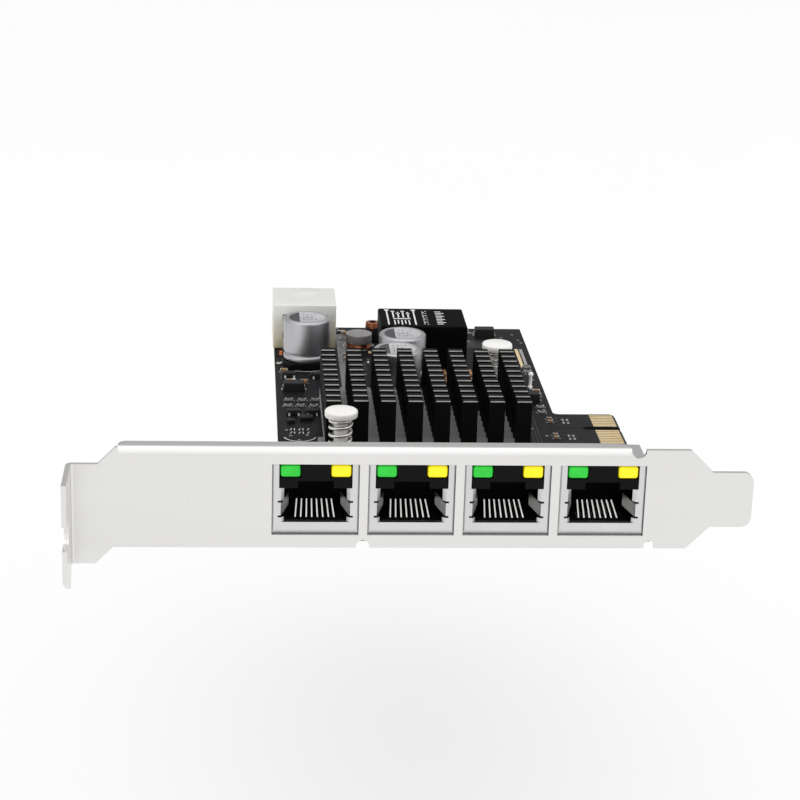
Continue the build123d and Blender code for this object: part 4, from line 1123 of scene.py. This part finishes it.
def makeModulePrint(look):
    form = bmesh.new()
    low, high = boxOf("power_module")
    wide, deep, top = high.x - low.x, high.y - low.y, high.z

    def mark(left, right, front, rear):
        # Edges as shares of the module's top
        addPatch(form, low.x + wide * left, low.x + wide * right, low.y + deep * front, low.y + deep * rear,
                 top, look["rise"])

    bar = look["line"] / wide
    for left in (0.085, 0.40):
        mark(left, left + bar, 0.1, 0.86)
        mark(left - bar * 0.9, left + bar * 1.9, 0.86, 0.92)
    # Comb of short bars between the two long ones
    for i in range(4):
        x = 0.155 + i * 0.058
        mark(x, x + bar, 0.48, 0.78)
        mark(x - bar * 0.7, x + bar * 1.7, 0.80 - 0.12 * (i % 2), 0.84 - 0.12 * (i % 2))
    for i in range(5):
        x = 0.16 + i * 0.042
        mark(x, x + bar * 0.8, 0.1 + 0.05 * (i % 2), 0.34)
    mark(0.155, 0.36, 0.40, 0.44)
    # Two columns of plain ticks
    for i in range(13):
        y = 0.12 + i * 0.058
        mark(0.505, 0.515 + 0.01 * (i % 3), y, y + 0.022)
        if i % 2 == 0:
            mark(0.54, 0.56, y, y + 0.018)
    for i in range(9):
        y = 0.13 + i * 0.083
        mark(0.66, 0.73 + 0.03 * (i % 2), y, y + 0.03)
    finishPiece(form, "module_marks", ["whiteInk"], (), 80)


def makeChipPrint():
    form = bmesh.new()
    for name in ("memory_chip", "line_transformer_1", "line_transformer_2", "line_transformer_3",
                 "line_transformer_4"):
        rows = 2 if name == "memory_chip" else 3
        low, high = boxOf(name)
        for row in range(rows):
            y = low.y + (high.y - low.y) * (row + 0.7) / (rows + 0.4)
            for i in range(4 + rows):
                x = low.x + (high.x - low.x) * (0.2 + i * 0.6 / (3 + rows))
                addBlock(form, (x, y, high.z), (x + 0.3 + 0.15 * ((i + row) % 2), y + 0.35, high.z + 0.02))
        dot = [(0, high.z), (0.25, high.z), (0.25, high.z + 0.02), (0, high.z + 0.02)]
        addLathe(form, (low.x + 0.8, low.y + 0.8), dot, 16)
    finishPiece(form, "chip_marks", ["greyInk"], (), 80)


makeModulePrint(moduleLook)
makeChipPrint()
print("printed marks")

# Camera at the photograph's place, looking 18.7 degrees down. Its place is in millimetres

photoView = {"place": (28.84, -356.13, 145.2), "right": (0.99742553, -0.06531918, 0.0295926),
             "up": (-0.00704594, 0.32140467, 0.94691573), "lens": 101.07, "sensor": 36, "near": 0.02,
             "far": 20}
camera = bpy.data.objects.new("camera", bpy.data.cameras.new("camera"))
collection.objects.link(camera)
bpy.context.scene.camera = camera
rightAxis, upAxis = Vector(photoView["right"]), Vector(photoView["up"])
backAxis = rightAxis.cross(upAxis)
turn = Matrix((rightAxis, upAxis, backAxis)).transposed()
camera.matrix_world = Matrix.Translation(Vector(photoView["place"]) * mm) @ turn.to_4x4()
camera.data.lens = photoView["lens"]
camera.data.sensor_width = photoView["sensor"]
camera.data.clip_start = photoView["near"]
camera.data.clip_end = photoView["far"]

# Floor, soft lights and a pale surround that is brightest overhead and in front, and dimmer behind

studio = {"floorReach": 3.0, "floorHeight": -0.075, "floorGlow": 0.6, "level": 0.593, "upward": 0.557,
          "forward": 0.307, "aim": (0.06, 0.05, 0.0)}
floorLook = dict(dark="f7f7f7", pale="fafafa", rough=0.95, roughSpread=0.02, blotchSize=300, grainSize=40,
                 bump=0.0, bumpDepth=0.01, gloss=0.0)
reach = studio["floorReach"]
floorMesh = bpy.data.meshes.new("floor")
floorMesh.from_pydata([(-reach, -reach, 0), (reach, -reach, 0), (reach, reach, 0), (-reach, reach, 0)], [],
                      [(0, 1, 2, 3)])
floor = bpy.data.objects.new("floor", floorMesh)
collection.objects.link(floor)
floor.location = (0, 0, studio["floorHeight"])
floorPaint = makeMaterial("floorPaint", floorLook)
floorMesh.materials.append(floorPaint)
# Part of the floor's white doesn't depend on the lamps, so that its shadow stays but the paper looks white.
# That part is there only for rays from the camera, for reflections and for transmission
paint = floorPaint.node_tree
ending = paint.nodes["Material Output"].inputs["Surface"]
painted = ending.links[0].from_socket
rays = addNode(paint, "ShaderNodeLightPath").outputs
seen = rays["Is Camera Ray"]
for kind in ("Is Glossy Ray", "Is Transmission Ray"):
    seen = addNode(paint, "ShaderNodeMath", {"operation": "ADD"}, {0: seen, 1: rays[kind]}).outputs[0]
share = addNode(paint, "ShaderNodeMath", {"operation": "MULTIPLY", 1: studio["floorGlow"]}, {0: seen})
white = addNode(paint, "ShaderNodeEmission", {"Color": (1, 1, 1, 1), "Strength": 1.0}).outputs[0]
mixed = addNode(paint, "ShaderNodeMixShader", links={0: share.outputs[0], 1: painted, 2: white}).outputs[0]
paint.links.new(mixed, ending)

# Places and sizes in metres, power in watts
lamps = {
    "overhead": {"place": (0.05, 0.15, 0.9), "size": (0.9, 0.7), "power": 1.1},
    "leftFront": {"place": (-0.8, -0.75, 0.24), "size": (0.22, 0.3), "power": 0.7},
    "rightFront": {"place": (0.85, -0.6, 0.2), "size": (0.2, 0.3), "power": 0.5},
}
for name, lamp in lamps.items():
    light = bpy.data.lights.new(name, "AREA")
    light.shape = "RECTANGLE"
    light.size, light.size_y = lamp["size"]
    light.energy = lamp["power"]
    holder = bpy.data.objects.new(name, light)
    collection.objects.link(holder)
    holder.visible_camera = False
    holder.location = lamp["place"]
    holder.rotation_mode = "QUATERNION"
    holder.rotation_quaternion = (Vector(studio["aim"]) - Vector(lamp["place"])).to_track_quat("-Z", "Y")

world = bpy.data.worlds.new("surround")
bpy.context.scene.world = world
world.use_nodes = True
sky = world.node_tree
sky.nodes.clear()
direction = addNode(sky, "ShaderNodeTexCoord").outputs["Generated"]
slope = (0, -studio["forward"], studio["upward"])
tilt = addNode(sky, "ShaderNodeVectorMath", {"operation": "DOT_PRODUCT", 1: slope},
               {0: direction}).outputs["Value"]
strength = addNode(sky, "ShaderNodeMath", {"operation": "ADD", 1: studio["level"]}, {0: tilt}).outputs[0]
light = addNode(sky, "ShaderNodeBackground", {"Color": (1, 1, 1, 1)}, {"Strength": strength}).outputs[0]
addNode(sky, "ShaderNodeOutputWorld", links={"Surface": light})

bpy.context.scene.view_settings.view_transform = "Standard"
print("camera and lights")
